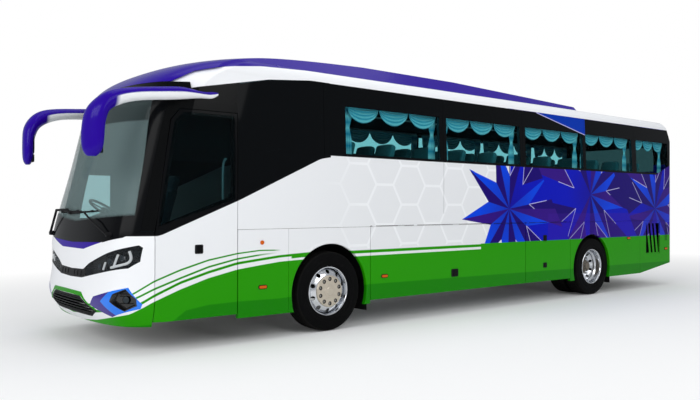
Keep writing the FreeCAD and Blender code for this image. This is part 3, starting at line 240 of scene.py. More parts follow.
# The studio is a pale sky, which the camera sees as white, and three soft
# boxes: one beside the coach, one ahead of it and one above.
world = bpy.data.worlds.new("studio")
scene.world = world
world.use_nodes = True
sky = world.node_tree
sky.nodes.clear()
seen = sky.nodes.new("ShaderNodeLightPath")
soft = sky.nodes.new("ShaderNodeBackground")
soft.inputs["Color"].default_value = (0.93, 0.96, 1, 1)
soft.inputs["Strength"].default_value = 0.5
plain = sky.nodes.new("ShaderNodeBackground")
plain.inputs["Color"].default_value = (1, 1, 1, 1)
choice = sky.nodes.new("ShaderNodeMixShader")
sky.links.new(seen.outputs["Is Camera Ray"], choice.inputs[0])
sky.links.new(soft.outputs[0], choice.inputs[1])
sky.links.new(plain.outputs[0], choice.inputs[2])
last = sky.nodes.new("ShaderNodeOutputWorld")
sky.links.new(choice.outputs[0], last.inputs[0])
scene.view_settings.view_transform = "Standard"


def soft_box(name, place, aim, width, power):
    lamp = bpy.data.lights.new(name, "AREA")
    lamp.shape = "RECTANGLE"
    lamp.size = width
    lamp.size_y = width * 0.6
    lamp.energy = power
    holder = linked(name, lamp)
    holder.location = place
    holder.rotation_mode = "QUATERNION"
    holder.rotation_quaternion = (Vector(aim) - Vector(place)).to_track_quat("-Z", "Y")


soft_box("side_light", (1, 14, 9), (0, 0, 1.4), 12, 700)
soft_box("front_light", (16, 4, 7), (4, 0, 1.5), 9, 700)
soft_box("top_light", (0, 0, 13), (0, 0, 0), 14, 500)


# The body panels are sprayed white, with a green skirt that sweeps down to the
# nose, pinstripes, a black zone round the door window, faint hexagons along the
# side and a row of blue and violet stars along its rear half.
half_width = 1.25
rear_corner = -8.8
black_front = 0.0
black_top = 3.118
net_front, net_rear = -0.2, -4.5
panel_gap = -2.07
full_green_rear, full_green_top = -2.89, 1.006
art_foot = 1.0
art_line = 2.2
art_climb = -8.2
lining_front, lining_rear = 1.3, -8.64
grille_slats = (-8.37, -7.79)


def shade(red, green, blue):
    channels = [c / 255 for c in (red, green, blue)]
    return tuple(c / 12.92 if c <= 0.04045 else ((c + 0.055) / 1.055) ** 2.4 for c in channels) + (1,)


def paint(material, *names):
    for name in names:
        mesh = nodes[name].data
        mesh.materials.clear()
        mesh.materials.append(material)


# A lead is how far ahead of the front axle a point is. Stripes that run on round
# the nose follow the lead along the side and then the way across.
def along_body(x, y):
    lead = x - front_axle_x
    inset = (half_width - abs(y)).most(0)
    return lead + inset * lead.above(2.2, 0.4) * 0.9


# The height of a line through points of (lead, height), at each lead.
def traced(finish, lead, points):
    reach_low, reach_high, ceiling = -9.5, 4.5, 4
    width = reach_high - reach_low
    curve = [((x - reach_low) / width, z / ceiling) for x, z in sorted(points)]
    share = (lead - reach_low) / width
    height = finish.node("ShaderNodeFloatCurve", {"curve": curve}, {"Factor": 1.0, "Value": share})
    return height * ceiling


skirt_top = [(-9.5, 1.006), (0.2, 1.0), (0.37, 0.992), (0.765, 0.976), (1.045, 0.95), (1.351, 0.92),
             (1.716, 0.84), (2.052, 0.747), (2.347, 0.63), (2.5, 0.56), (2.6, 0.52), (4.5, 0.3)]
white_low = [(-9.5, 0.93), (0.426, 0.919), (0.765, 0.908), (1.045, 0.88), (1.35, 0.846), (1.715, 0.771),
             (2.051, 0.671), (2.347, 0.564), (2.5, 0.5), (2.68, 0.435), (3.0, 0.385), (3.3, 0.33), (4.5, 0.2)]
middle_stripe = [(-9.5, 1.03), (0.766, 1.02), (1.045, 1.0), (1.351, 0.968), (1.716, 0.896), (2.052, 0.794),
                 (2.347, 0.698), (2.55, 0.62), (2.7, 0.57), (4.5, 0.3)]
high_stripe = [(-9.5, 1.05), (0.766, 1.045), (1.045, 1.053), (1.351, 1.029), (1.716, 0.972), (2.053, 0.882),
               (2.348, 0.78), (2.5, 0.71), (2.63, 0.65), (4.5, 0.3)]
belt_line = [(-9.5, 2.204), (-0.15, 2.204), (0.157, 2.152), (1.316, 1.635), (2.291, 1.249), (4.5, 1.24)]
crease_line = [(-9.5, 0.46), (-7.554, 0.484), (-5.3, 0.5), (-2.893, 0.523), (-0.661, 0.545), (0.763, 0.472),
               (1.321, 0.483), (1.714, 0.477), (1.984, 0.44), (2.15, 0.33), (4.5, 0.2)]

body_white = shade(240, 241, 243)
skirt_green = shade(38, 148, 0)
skirt_shadow_green = shade(16, 122, 0)
gloss_black = shade(7, 8, 10)
hexagon_ground = shade(229, 230, 232)
cabin_lining = shade(44, 60, 66)
facet_blues = (shade(0, 16, 182), shade(0, 66, 222), shade(24, 0, 108), shade(50, 14, 128))
facet_line = shade(196, 190, 236)
art_foot_violet = shade(60, 20, 150)
nose_violet = shade(46, 12, 150)


# Two sets of cells, half a cell apart, make the net. It gives the distance from
# the middle of the nearer cell, which grows to 0.5 at the cell's edge.
cell_width, cell_height = 0.92, 0.53
root_three = 1.732


def hexagon_net(lead, z):
    rows = []
    for shift in (0.0, 0.5):
        across = ((lead / cell_width + shift + 50).fraction() - 0.5) * root_three
        up = (z / cell_height + shift + 50).fraction() - 0.5
        rows.append((across, up, across * across + up * up))
    (near_across, near_up, near), (far_across, far_up, far) = rows
    nearer = near.math("LESS_THAN", near, far)
    across = abs(far_across + (near_across - far_across) * nearer)
    up = abs(far_up + (near_up - far_up) * nearer)
    return up.most(up * 0.5 + across * (root_three / 2))


# Stars stand in a row along the side. Each arm has a light and a dark half, the
# field between the arms is dark, and thin pale lines run out from the waists.
star_first = -3.57
star_spacing = 2.3
star_heights = (1.53, 1.78)
star_arms = 9
arm_reach = 1.12
arm_waist = 0.52
waist_along = arm_waist * math.cos(math.pi / star_arms)
waist_aside = arm_waist * math.sin(math.pi / star_arms)
arm_side = math.hypot(waist_aside, arm_reach - waist_along)
line_width, line_soft = 0.006, 0.005
art_front = star_first + star_spacing / 2
tone_stops = [(0.0, facet_blues[2]), (0.27, facet_blues[2]), (0.28, facet_blues[3]), (0.45, facet_blues[3]),
              (0.46, facet_blues[0]), (0.72, facet_blues[0]), (0.73, facet_blues[1]), (1.0, facet_blues[1])]


def facet_paint(finish, lead, z):
    lean = (z - 1.65) * 0.3 * lead.below(star_first)
    number = ((star_first - lead) / star_spacing + 0.5 + lean).floor()
    across = lead - star_first + number * star_spacing
    odd = (number * 0.5).fraction() * 2
    up = z - (star_heights[0] + odd * (star_heights[1] - star_heights[0]))
    radius = (across * across + up * up).root()
    turn = up.math("ARCTAN2", up, across) * (star_arms / (2 * math.pi)) + 20.7
    arm = turn.floor()
    off = (turn.fraction() - 0.5) * (2 * math.pi / star_arms)
    along = radius * off.math("COSINE", off)
    aside = radius * off.math("SINE", abs(off))
    depth = ((arm_reach - along) * waist_aside - aside * (arm_reach - waist_along)) / arm_side
    star = depth.above(0, 0.003)
    half = off.above(0, 0.001)
    part = half + star.above(0.5, 0.01) * 2
    key = finish.node("ShaderNodeCombineXYZ", {}, {0: arm * 7.3, 1: number * 3.1, 2: part})
    luck = finish.node("ShaderNodeTexWhiteNoise", {}, {"Vector": key})
    light = luck * (0.7 - star * 0.2) + star * half * 0.5
    tone = finish.node("ShaderNodeValToRGB", {"stops": tone_stops}, {"Fac": light})
    glow = finish.mix(radius.below(0.35, 0.7) * 0.5, tone, facet_blues[2])
    from_waist = radius * off.math("SINE", math.pi / star_arms - abs(off))
    spoke = from_waist.below(line_width, line_soft) * (1 - star)
    edge = abs(depth).below(line_width, line_soft) * (arm * 0.5).fraction().above(0.25, 0.01)
    lines = spoke.most(edge) * radius.below(1.0, 0.02) * 0.85
    covers = lead.below(star_first).most(star * lead.below(art_front))
    return finish.mix(lines, glow, facet_line), covers


# The art's upper edge is level along the side and climbs at the rear corner.
def art_rise(lead):
    return art_line + (art_climb - lead).most(0) * 0.35


def skirt_zone(finish, side, z):
    top = z - traced(finish, side, skirt_top)
    middle = z - traced(finish, side, middle_stripe)
    high = z - traced(finish, side, high_stripe)
    near_front = side.above(0.3, 0.02)
    thin = side.above(1.2, 1.4)
    green = z.below(traced(finish, side, white_low))
    green = green.most(side.below(full_green_rear, 0.002) * z.below(full_green_top))
    for stripe in (
            top.between(-0.045, -0.004) * side.below(0.6, 0.02),
            top.between(-0.02, 0.01) * near_front,
            middle.between(-0.008 - thin * 0.006, 0.008) * side.above(0.95, 0.3),
            high.between(-0.006 - thin * 0.008, 0.006) * near_front * side.above(0.8, 0.1)):
        green = green.most(stripe)
    return green


def livery():
    finish = Finish("body_livery")
    x, y, z = finish.place()
    lead, across = x - front_axle_x, abs(y)
    side = along_body(x, y)
    rear = lead.below(rear_corner, 0.01)
    flank = across.above(1.0, 0.1).most(rear)

    # White in front, then the faint hexagons, then the stars.
    colour = finish.mix(side.below(0.6, 3.0) * side.above(net_rear, 0.1), body_white, hexagon_ground)
    net_zone = side.between(net_rear, net_front, 0.6) * z.between(1.02, 2.19)
    colour = finish.mix(hexagon_net(lead, z).above(0.468, 0.012) * net_zone, colour, body_white)
    art, covers = facet_paint(finish, lead - (half_width - across).most(0) * rear, z)
    colour = finish.mix(covers * z.above(art_foot, 0.001) * flank, colour, art)

    # The green is painted darker under the pressed crease of the skirt, as painted shade.
    crease_shade = z.below(traced(finish, side, crease_line), 0.012)
    green = finish.mix(crease_shade * 0.85, skirt_green, skirt_shadow_green)
    colour = finish.mix(skirt_zone(finish, side, z), colour, green)

    # Black lies round the door window, over the stars at the rear and in one gap.
    black = z.above(traced(finish, side, belt_line)) * side.above(black_front, 0.01)
    black = black.most(lead.below(-8.55, 0.01) * z.above(art_rise(lead))) * z.below(black_top)
    gap = abs(lead - panel_gap).below(0.003, 0.003) * z.between(1.46, art_line) * 0.7
    colour = finish.mix(black.most(gap), colour, gloss_black)
    dusk = lead.below(-4.6, 0.01) * z.between(art_foot, 1.45, 0.01) * 0.3
    colour = finish.mix(dusk * flank, colour, art_foot_violet)

    # The cabin's inner faces are lined, and the nose wears a violet strip.
    inner = across.below(1.2, 0.004) * z.above(1.3, 0.01)
    inner = inner.most(across.below(1.242, 0.002) * z.between(2.21, 3.1))
    colour = finish.mix(inner * lead.between(lining_rear, lining_front), colour, cabin_lining)
    strip_low = 1.088 + (across - 0.34).most(0) * 0.21
    strip = z.between(strip_low, 1.2) * across.below(0.75) * lead.above(2.45, 0.01)
    colour = finish.mix(strip, colour, nose_violet)

    # The slat faces that look fore and aft, into the slots, are painted black as shade in the slots.
    slot_shade = abs(finish.facing()[1]).below(0.6, 0.1) * lead.between(*grille_slats, 0.01)
    slot_shade = slot_shade * z.between(0.63, 1.28, 0.01) * across.above(1.1, 0.01)
    colour = finish.mix(slot_shade, colour, gloss_black)
    dirt = finish.noise(2.2, 5.0)
    ripple = finish.noise(260.0, 2.0)
    return finish.surface(
        Base_Color=colour, Roughness=0.16 + dirt * 0.12, Coat_Weight=0.05, Coat_Roughness=0.04,
        Specular_IOR_Level=0.06, Normal=finish.bump(ripple, 0.04, 0.0004))


body_paint = livery()
paint(body_paint, "side_wall_left", "side_wall_right", "lower_panels_left", "lower_panels_right",
      "luggage_door_left", "luggage_door_right", "service_flap_left", "service_flap_right",
      "front_mask", "passenger_door", "rear_wall", "rear_bumper", "engine_lid", "side_grilles")


# The roof is moulded white panels, bonded to the frame. The fairing, its two
# wings and the mirror arms are sprayed deep violet, and the arms are white
# underneath.
violet = shade(38, 4, 144)
wing_edge = [(-9.5, 3.6), (-5.72, 3.6), (-5.62, 3.28), (-4.0, 3.262), (0.302, 3.245), (0.99, 3.21),
             (1.73, 3.112), (1.917, 3.07), (2.01, 3.013), (2.11, 2.934), (2.16, 2.88), (4.5, 2.6)]


def lacquered(finish, colour, rough):
    grain = finish.noise(300.0, 2.0)
    return finish.surface(
        Base_Color=colour, Roughness=rough, Coat_Weight=0.05, Coat_Roughness=0.05,
        Specular_IOR_Level=0.08, Normal=finish.bump(grain, 0.03, 0.0004))


def sprayed(name, colour, rough=0.18):
    finish = Finish(name)
    return lacquered(finish, colour, rough + finish.noise(1.8, 4.0) * 0.1)


def mirror_paint():
    finish = Finish("mirror_paint")
    lead = finish.place()[0] - front_axle_x
    under = finish.facing()[2].below(0.12, 0.15) * lead.below(2.72, 0.05)
    return lacquered(finish, finish.mix(under, violet, body_white), 0.2)


def roof_colours():
    finish = Finish("roof_colours")
    x, y, z = finish.place()
    lead = x - front_axle_x
    wing = z.above(traced(finish, lead, wing_edge), 0.006)
    wing = wing * abs(y).above(0.7, 0.01).most(lead.above(0.3, 0.01))
    ceiling = finish.facing()[2].below(-0.4, 0.1)
    colour = finish.mix(ceiling, finish.mix(wing, body_white, violet), cabin_lining)
    return lacquered(finish, colour, 0.2 + finish.noise(1.8, 4.0) * 0.12)


paint(roof_colours(), "roof")
paint(sprayed("unit_white", body_white), "roof_air_unit")
paint(sprayed("fairing_violet", violet), "roof_fairing")
paint(mirror_paint(), "mirror_left", "mirror_right")


# The window band is one strip of tinted bonded glass, blacked out between the panes. The windscreen is
# clearer, with a black printed edge, and a pale painted reflection lies over its clear glass.
pane_edges = ((-0.25, -1.995), (-2.14, -3.86), (-4.006, -5.654), (-5.742, -7.309), (-7.468, -8.70))
pane_low, pane_high = 2.235, 2.845
film_front, film_rear = -4.32, -5.736
film_foot, film_hem, film_slope = 2.823, 2.836, 0.197
driver_window_rear = 1.84
sun_band_low = 2.49
screen_top = 2.84
glass_tint = shade(216, 246, 248)


def side_glazing():
    finish = Finish("side_glazing")
    x, y, z = finish.place()
    lead = x - front_axle_x
    pane = lead.between(*reversed(pane_edges[0]))
    for front, back in pane_edges[1:]:
        pane = pane.most(lead.between(back, front))
    driver = lead.above(driver_window_rear, 0.01) * z.between(1.4, 1.97) * y.below(0)
    clear = (pane * z.between(pane_low, pane_high)).most(driver)
    slant = (lead - film_rear) * film_slope
    hem = finish.mix(z.above(film_hem + slant), facet_line, shade(0, 52, 168))
    film = z.above(film_foot + slant) * lead.between(film_rear, film_front) * z.below(3.115)
    tail = lead.below(art_climb) * z.below(art_rise(lead))
    colour = finish.mix(film, shade(9, 11, 13), hem)
    colour = finish.mix(tail, colour, facet_paint(finish, lead, z)[0])
    return finish.tinted(clear * 0.9 * (1 - tail), glass_tint, Base_Color=colour, Roughness=0.04,
                         Specular_IOR_Level=0.05)


def clear_glazing(name, clear):
    finish = Finish(name)
    haze = finish.noise(6.0, 3.0)
    return finish.tinted(clear, glass_tint, Base_Color=gloss_black, Roughness=0.02 + haze * 0.02,
                         Specular_IOR_Level=0.1)


def windscreen_glazing():
    finish = Finish("windscreen_glazing")
    x, y, z = finish.place()
    across = abs(y)
    sun_band = z.above(sun_band_low, 0.02)
    edge = across.above(1.025 + (2.2 - z) * 0.11, 0.01)
    foot = z.below(1.4 + across * 0.07, 0.03)
    dark = edge.most(foot).most(z.above(screen_top, 0.01))
    # The clear glass is given a pale grey-teal colour and part opacity: a painted reflection of the bright
    # studio.
    alpha = (0.36 + sun_band * 0.4).most(dark)
    colour = finish.mix(dark.most(sun_band * 0.8), shade(128, 150, 150), shade(10, 11, 13))
    return finish.surface(Base_Color=colour, Roughness=0.03 + dark * 0.12, Alpha=alpha,
                          Specular_IOR_Level=0.06)


paint(side_glazing(), "side_glass_left", "side_glass_right")
paint(windscreen_glazing(), "windscreen")
paint(clear_glazing("door_glazing", 0.72), "door_glass")
paint(clear_glazing("rear_glazing", 0.3), "rear_window")


# Gloss black trim, moulded dark plastic and black-painted steel make the rest
# of the body and what is under it. The floors are sealed plywood.
def trim(name, colour, rough, grain_scale, depth):
    finish = Finish(name)
    grain = finish.noise(grain_scale, 3.0)
    cloud = finish.noise(3.0, 4.0)
    darker = tuple(c * 0.6 for c in colour[:3]) + (1,)
    return finish.surface(
        Base_Color=finish.mix(cloud * 0.5, colour, darker), Roughness=rough + grain * 0.12,
        Specular_IOR_Level=0.08, Normal=finish.bump(grain, 0.25, depth))


black_gloss = trim("black_gloss", shade(8, 9, 10), 0.1, 90.0, 0.0002)
dark_plastic = trim("dark_plastic", shade(24, 24, 26), 0.5, 700.0, 0.0006)
frame_paint = trim("frame_paint", shade(30, 31, 33), 0.45, 160.0, 0.001)
bright_steel = trim("bright_steel", shade(168, 170, 174), 0.3, 300.0, 0.0003)
floor_ply = trim("floor_ply", shade(96, 84, 70), 0.55, 60.0, 0.001)
dash_skin = trim("dash_skin", shade(40, 42, 45), 0.5, 900.0, 0.0008)
paint(black_gloss, "cab_frame")
paint(dark_plastic, "front_grille", "wheel_housings", "entry_steps")
paint(frame_paint, "front_axle", "knuckle_left", "knuckle_right", "tie_rod", "rear_axle", "air_springs",
      "chassis_frame", "engine_block")
paint(bright_steel, "luggage_bay", "side_tanks", "curtain_rails", "door_arm")
paint(floor_ply, "floor_deck", "cab_floor")
paint(dash_skin, "dashboard", "steering_wheel")
paint(sprayed("lamp_red", shade(150, 10, 14), 0.1), "tail_lamps")


# Each tyre is black rubber on steel cord, moulded in a press with five tread
# ribs, sipes across them and raised rings on the wall. It seats on the rim.
both_sides = (("left", 1), ("right", -1))
axle_height = 0.5
rear_axle_lead = -5.98
track_outer = 1.085
track_inner = 0.755
tyre_steps = 120
sipe_count = 76
tread_radius = 0.478
wall_rings = (0.34, 0.45)


# How far a point is ahead of the axle, above it and from it.
def from_axle(lead, z):
    up = z - axle_height
    return lead, up, (lead * lead + up * up).root()


def tyre_rubber():
    finish = Finish("tyre_rubber")
    x, y, z = finish.place()
    lead = x - front_axle_x
    along, up, radius = from_axle(lead - rear_axle_lead * lead.below(-3.0, 0.01), z)
    turn = up.math("ARCTAN2", up, along) * (sipe_count / (2 * math.pi))
    tread = radius.above(tread_radius, 0.002)
    sipe = abs((turn + abs(y) * 9.0 + 50).fraction() - 0.5).below(0.09, 0.04) * tread
    rib = abs((radius * 190.0).fraction() - 0.5).below(0.2, 0.1) * radius.between(*wall_rings, 0.02)
    grain = finish.noise(700.0, 3.0)
    dust = finish.noise(5.0, 5.0)
    colour = finish.mix(tread * (0.25 + dust * 0.5), shade(7, 7, 8), shade(30, 29, 28))
    height = grain * 0.15 - sipe + rib * 0.12
    return finish.surface(Base_Color=colour, Roughness=0.5 + dust * 0.2 + tread * 0.2,
                          Specular_IOR_Level=0.05, Normal=finish.bump(height, 0.6, 0.004))


def fitted(name, build, material, body, crease=32):
    bmesh.ops.remove_doubles(build, verts=build.verts, dist=0.00004)
    bmesh.ops.recalc_face_normals(build, faces=build.faces)
    bmesh.ops.translate(build, verts=build.verts, vec=(front_axle_x, 0, 0))
    mesh = meshed(name, build)
    mesh.materials.append(material)
    mesh.polygons.foreach_set("use_smooth", [True] * len(mesh.polygons))
    mesh.set_sharp_from_angle(angle=math.radians(crease))
    piece = linked(name, mesh)
    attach(piece, body)
    return piece


# Turns a closed outline of (distance out from the wheel's middle, radius) once
# round the axle. A wheel's place is its lead, its middle and which way is out.
def turned(build, outline, place, steps=96):
    lead, middle, outward = place
    verts = [build.verts.new((lead, middle + outward * w, axle_height + r)) for w, r in outline]
    edges = [build.edges.new((verts[i - 1], verts[i])) for i in range(len(verts))]
    bmesh.ops.spin(build, geom=verts + edges, cent=(lead, 0, axle_height), axis=(0, 1, 0),
                   angle=2 * math.pi, steps=steps, use_merge=True)
    return build


tyre_half_outline = [
    (0.022, 0.5), (0.024, 0.487), (0.031, 0.487), (0.033, 0.4988), (0.07, 0.498), (0.072, 0.486),
    (0.08, 0.486), (0.082, 0.4965), (0.122, 0.494), (0.131, 0.488), (0.136, 0.474), (0.1385, 0.468),
    (0.1392, 0.44), (0.14, 0.41), (0.1396, 0.39), (0.1405, 0.388), (0.1405, 0.382), (0.1388, 0.38),
    (0.136, 0.35), (0.1375, 0.348), (0.1375, 0.343), (0.134, 0.34), (0.129, 0.322), (0.121, 0.309),
    (0.112, 0.3), (0.106, 0.297), (0.106, 0.31), (0.118, 0.36), (0.122, 0.42), (0.105, 0.466)]
tyre_outline = tyre_half_outline + [(-w, r) for w, r in reversed(tyre_half_outline)]
rubber = tyre_rubber()
for side, outward in both_sides:
    build = turned(bmesh.new(), tyre_outline, (0, outward * track_outer, outward), tyre_steps)
    tyre = fitted("tyre_front_" + side, build, rubber, "front_wheel_" + side)
    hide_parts("front_tyre_" + side)
    build = bmesh.new()
    for track in (track_outer, track_inner):
        turned(build, tyre_outline, (rear_axle_lead, outward * track, outward), tyre_steps)
    twins = fitted("tyres_rear_" + side, build, rubber, "rear_wheels_" + side)
    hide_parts("rear_tyres_" + side)


# The wheels are forged aluminium, machined bright, with ten round hand holes.
# A champagne-painted cover is screwed to each front wheel, with the ten nuts in pits painted dark as shade,
# and the rear wheels are pairs on an iron hub.
hand_holes = 10
hole_circle, hole_radius = 0.243, 0.0265
rear_hole_circle, rear_hole_radius = 0.236, 0.024
nut_circle, nut_radius, stud_radius = 0.153, 0.0165, 0.0105
rear_nut_circle, rear_nut_radius = 0.1675, 0.0175
hub_bolt_circle, hub_bolt_radius = 0.083, 0.008
nut_taper, stud_taper = 0.94, 0.9
inner_dish_out = 0.145
pit_shade_face, pit_shade_reach = 0.1505, 0.184
cover_paint_colour = shade(196, 186, 170)


def metal(name, colour, rough, polish):
    finish = Finish(name)
    brushed = finish.noise(220.0, 2.0)
    smear = finish.noise(7.0, 4.0)
    return finish.surface(Base_Color=colour, Metallic=polish, Roughness=rough + smear * 0.12,
                          Normal=finish.bump(brushed, 0.02, 0.0004))


def cover_paint():
    finish = Finish("champagne_cover")
    x, y, z = finish.place()
    radius = from_axle(x - front_axle_x, z)[2]
    # The walls of the pits round the nuts are painted dark, as painted shade in the recesses.
    pit_shade = abs(y).below(track_outer + pit_shade_face, 0.004) * radius.below(pit_shade_reach, 0.002)
    smear = finish.noise(7.0, 4.0)
    return finish.surface(Base_Color=finish.mix(pit_shade, cover_paint_colour, shade(26, 24, 22)), Metallic=0.6,
                          Roughness=0.3 + smear * 0.12)


bright_rim = metal("bright_rim", shade(214, 216, 220), 0.12, 1.0)
champagne = metal("champagne_cap", cover_paint_colour, 0.3, 0.6)
nut_steel = metal("nut_steel", shade(150, 148, 144), 0.28, 0.9)
hub_iron = metal("hub_iron", shade(120, 112, 102), 0.42, 0.7)
cover_champagne = cover_paint()


# Drills one closed shape out of another. Both are used up.
def carved(build, cutter):
    shapes = []
    for part in (build, cutter):
        bmesh.ops.remove_doubles(part, verts=part.verts, dist=0.00004)
        bmesh.ops.recalc_face_normals(part, faces=part.faces)
        shapes.append(linked("blank", meshed("blank", part)))
    cut = shapes[0].modifiers.new("cut", "BOOLEAN")
    cut.operation = "DIFFERENCE"
    cut.solver = "EXACT"
    cut.object = shapes[1]
    whole = bpy.data.meshes.new_from_object(shapes[0].evaluated_get(bpy.context.evaluated_depsgraph_get()))
    result = bmesh.new()
    result.from_mesh(whole)
    for holder in shapes:
        mesh = holder.data
        bpy.data.objects.remove(holder)
        bpy.data.meshes.remove(mesh)
    bpy.data.meshes.remove(whole)
    return result


def disc(build, radius, top_radius, depth, place, sides=40):
    bmesh.ops.create_cone(build, cap_ends=True, segments=sides, radius1=radius, radius2=top_radius,
                          depth=depth, matrix=place)


# Holes and nuts stand in a circle round the axle, each a short prism whose axis
# runs across the coach. Low and high are distances out from the wheel's middle.
def round_axle(build, place, circle, radius, low, high, sides=24, taper=1.0):
    lead, middle, outward = place
    for i in range(hand_holes):
        turn = 2 * math.pi * (i + 0.5) / hand_holes
        centre = Vector((lead + circle * math.cos(turn), middle + outward * (low + high) / 2,
                         axle_height + circle * math.sin(turn)))
        stand = Matrix.Translation(centre) @ Matrix.Rotation(-outward * math.pi / 2, 4, "X")
        disc(build, radius, radius * taper, high - low, stand, sides)
    return build


rim_outline = [
    (0.104, 0.3), (0.116, 0.308), (0.122, 0.308), (0.1255, 0.304), (0.1245, 0.298), (0.118, 0.292),
    (0.1, 0.287), (0.07, 0.285), (0.03, 0.283), (0.005, 0.262), (-0.03, 0.262), (-0.06, 0.28), (-0.1, 0.286),
    (-0.118, 0.292), (-0.1245, 0.3), (-0.122, 0.308), (-0.112, 0.306), (-0.1, 0.296), (-0.06, 0.29),
    (-0.03, 0.272), (0.005, 0.272), (0.035, 0.291), (0.09, 0.294)]
front_dish_outline = [
    (0.127, 0.19), (0.126, 0.2), (0.122, 0.209), (0.115, 0.222), (0.104, 0.243), (0.088, 0.262),
    (0.066, 0.276), (0.05, 0.2835), (0.038, 0.2835), (0.056, 0.27), (0.078, 0.256), (0.094, 0.238),
    (0.104, 0.218), (0.108, 0.2), (0.109, 0.19)]
rear_dish_outline = [
    (-0.075, 0.1), (-0.075, 0.205), (-0.07, 0.222), (-0.045, 0.248), (-0.02, 0.263), (-0.035, 0.2635),
    (-0.06, 0.252), (-0.085, 0.23), (-0.092, 0.2), (-0.092, 0.1)]
cover_outline = [
    (0.112, 0.0005), (0.1535, 0.0005), (0.1535, 0.16), (0.152, 0.186), (0.1495, 0.194), (0.144, 0.198),
    (0.112, 0.198)]
cap_outline = [
    (0.15, 0.0005), (0.1635, 0.0005), (0.163, 0.05), (0.1575, 0.058), (0.1575, 0.072), (0.1565, 0.08),
    (0.15, 0.084)]
rear_hub_outline = [
    (-0.08, 0.0005), (0.052, 0.0005), (0.05, 0.05), (0.04, 0.066), (0.022, 0.072), (0.02, 0.09),
    (0.008, 0.1), (-0.05, 0.108), (-0.058, 0.135), (-0.08, 0.138)]

for side, outward in both_sides:
    body = "front_wheel_" + side
    place = (0, outward * track_outer, outward)
    rim = fitted("rim_front_" + side, turned(bmesh.new(), rim_outline, place), bright_rim, body)
    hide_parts(body)
    dish = turned(bmesh.new(), front_dish_outline, place)
    holes = round_axle(bmesh.new(), place, hole_circle, hole_radius, 0.02, 0.14)
    fitted("dish_front_" + side, carved(dish, holes), bright_rim, body)
    cover = turned(bmesh.new(), cover_outline, place)
    pits = round_axle(bmesh.new(), place, nut_circle, hole_radius, 0.1275, 0.17)
    fitted("cover_front_" + side, carved(cover, pits), cover_champagne, body)
    cap = turned(bmesh.new(), cap_outline, place)
    fitted("cap_front_" + side, cap, champagne, body)
    nuts = round_axle(bmesh.new(), place, nut_circle, nut_radius, 0.126, 0.146, 6, nut_taper)
    round_axle(nuts, place, nut_circle, stud_radius, 0.145, 0.1515, 12, stud_taper)
    fitted("nuts_front_" + side, nuts, nut_steel, body)

    body = "rear_wheels_" + side
    place = (rear_axle_lead, outward * track_outer, outward)
    build = turned(bmesh.new(), rim_outline, place)
    turned(build, rim_outline, (rear_axle_lead, outward * track_inner, -outward))
    rims = fitted("rims_rear_" + side, build, bright_rim, body)
    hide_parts(body)
    dishes = turned(bmesh.new(), rear_dish_outline, place)
    inner_dish = (rear_axle_lead, outward * (track_inner + inner_dish_out), -outward)
    turned(dishes, rear_dish_outline, inner_dish)
    holes = round_axle(bmesh.new(), place, rear_hole_circle, rear_hole_radius, -0.4, 0.05)
    fitted("dish_rear_" + side, carved(dishes, holes), bright_rim, body)
    hub = turned(bmesh.new(), rear_hub_outline, place)
    fitted("hub_rear_" + side, hub, hub_iron, body)
    nuts = round_axle(bmesh.new(), place, rear_nut_circle, rear_nut_radius, -0.075, -0.05, 6, nut_taper)
    round_axle(nuts, place, rear_nut_circle, stud_radius, -0.05, -0.036, 12, stud_taper)
    round_axle(nuts, place, hub_bolt_circle, hub_bolt_radius, 0.012, 0.028, 6, nut_taper)
    fitted("nuts_rear_" + side, nuts, nut_steel, body)


# The lamps are one black moulding across the nose with a clear hard-coated
# cover glued over each end. Under it stand three lens units in bright rings and
# white light guides.
def skin_of(*names):
    build = bmesh.new()
    for name in names:
        build.from_mesh(nodes[name].data)
    tree = BVHTree.FromBMesh(build)
    build.free()
    return tree


nose_skin = skin_of("front_mask", "headlamps", "fog_pods", "front_grille", "windscreen", "cab_frame")


# The point of a skin at this height and way across, seen along the coach from
# the side that start is on, and lifted off it along the skin's own normal.
def on_skin(skin, start, y, z, lift):
    ray = Vector((math.copysign(1, -start), 0, 0))
    point, normal = skin.ray_cast(Vector((front_axle_x + start, y, z)), ray)[:2]
    return point + normal * lift - Vector((front_axle_x, 0, 0))


def on_nose(y, z, lift=0.0):
    return on_skin(nose_skin, 5, y, z, lift)


# A round rod along a path, smooth or straight from point to point.
def swept(build, path, radius, smooth=True, sides=3):
    line = bpy.data.curves.new("line", "CURVE")
    line.dimensions = "3D"
    line.bevel_depth = radius
    line.bevel_resolution = sides
    line.use_fill_caps = True
    line.resolution_u = 5
    spline = line.splines.new("NURBS" if smooth else "POLY")
    spline.points.add(len(path) - 1)
    for point, place in zip(spline.points, path):
        point.co = (*place, 1)
    if smooth:
        spline.order_u = 3
        spline.use_endpoint_u = True
    holder = bpy.data.objects.new("line", line)
    mesh = bpy.data.meshes.new_from_object(holder)
    build.from_mesh(mesh)
    bpy.data.objects.remove(holder)
    bpy.data.curves.remove(line)
    bpy.data.meshes.remove(mesh)


def standing(point, direction):
    return Matrix.Translation(point) @ Vector(direction).to_track_quat("Z", "Y").to_matrix().to_4x4()


# A flattened glass ball, lifted along the way that its place looks.
def lens(build, radius, flatness, place, lift, rings=16):
    ball = bmesh.ops.create_uvsphere(build, u_segments=2 * rings, v_segments=rings, radius=radius)["verts"]
    bmesh.ops.scale(build, verts=ball, vec=(1, 1, flatness))
    bmesh.ops.transform(build, verts=ball, matrix=place @ Matrix.Translation((0, 0, lift)))


def in_front(face):
    middle = face.calc_center_median() + Vector((front_axle_x, 0, 0))
    outer = nose_skin.ray_cast(middle + Vector((4, 0, 0)), Vector((-1, 0, 0)))[0]
    return face.normal.x > 0.02 and outer is not None and abs(outer.x - middle.x) < 0.004


def lamp_glass():
    finish = Finish("lamp_glass")
    flow = finish.noise(9.0, 2.0)
    return finish.surface(Base_Color=shade(60, 66, 70), Roughness=0.03 + flow * 0.02, Alpha=0.12,
                          Specular_IOR_Level=0.3)


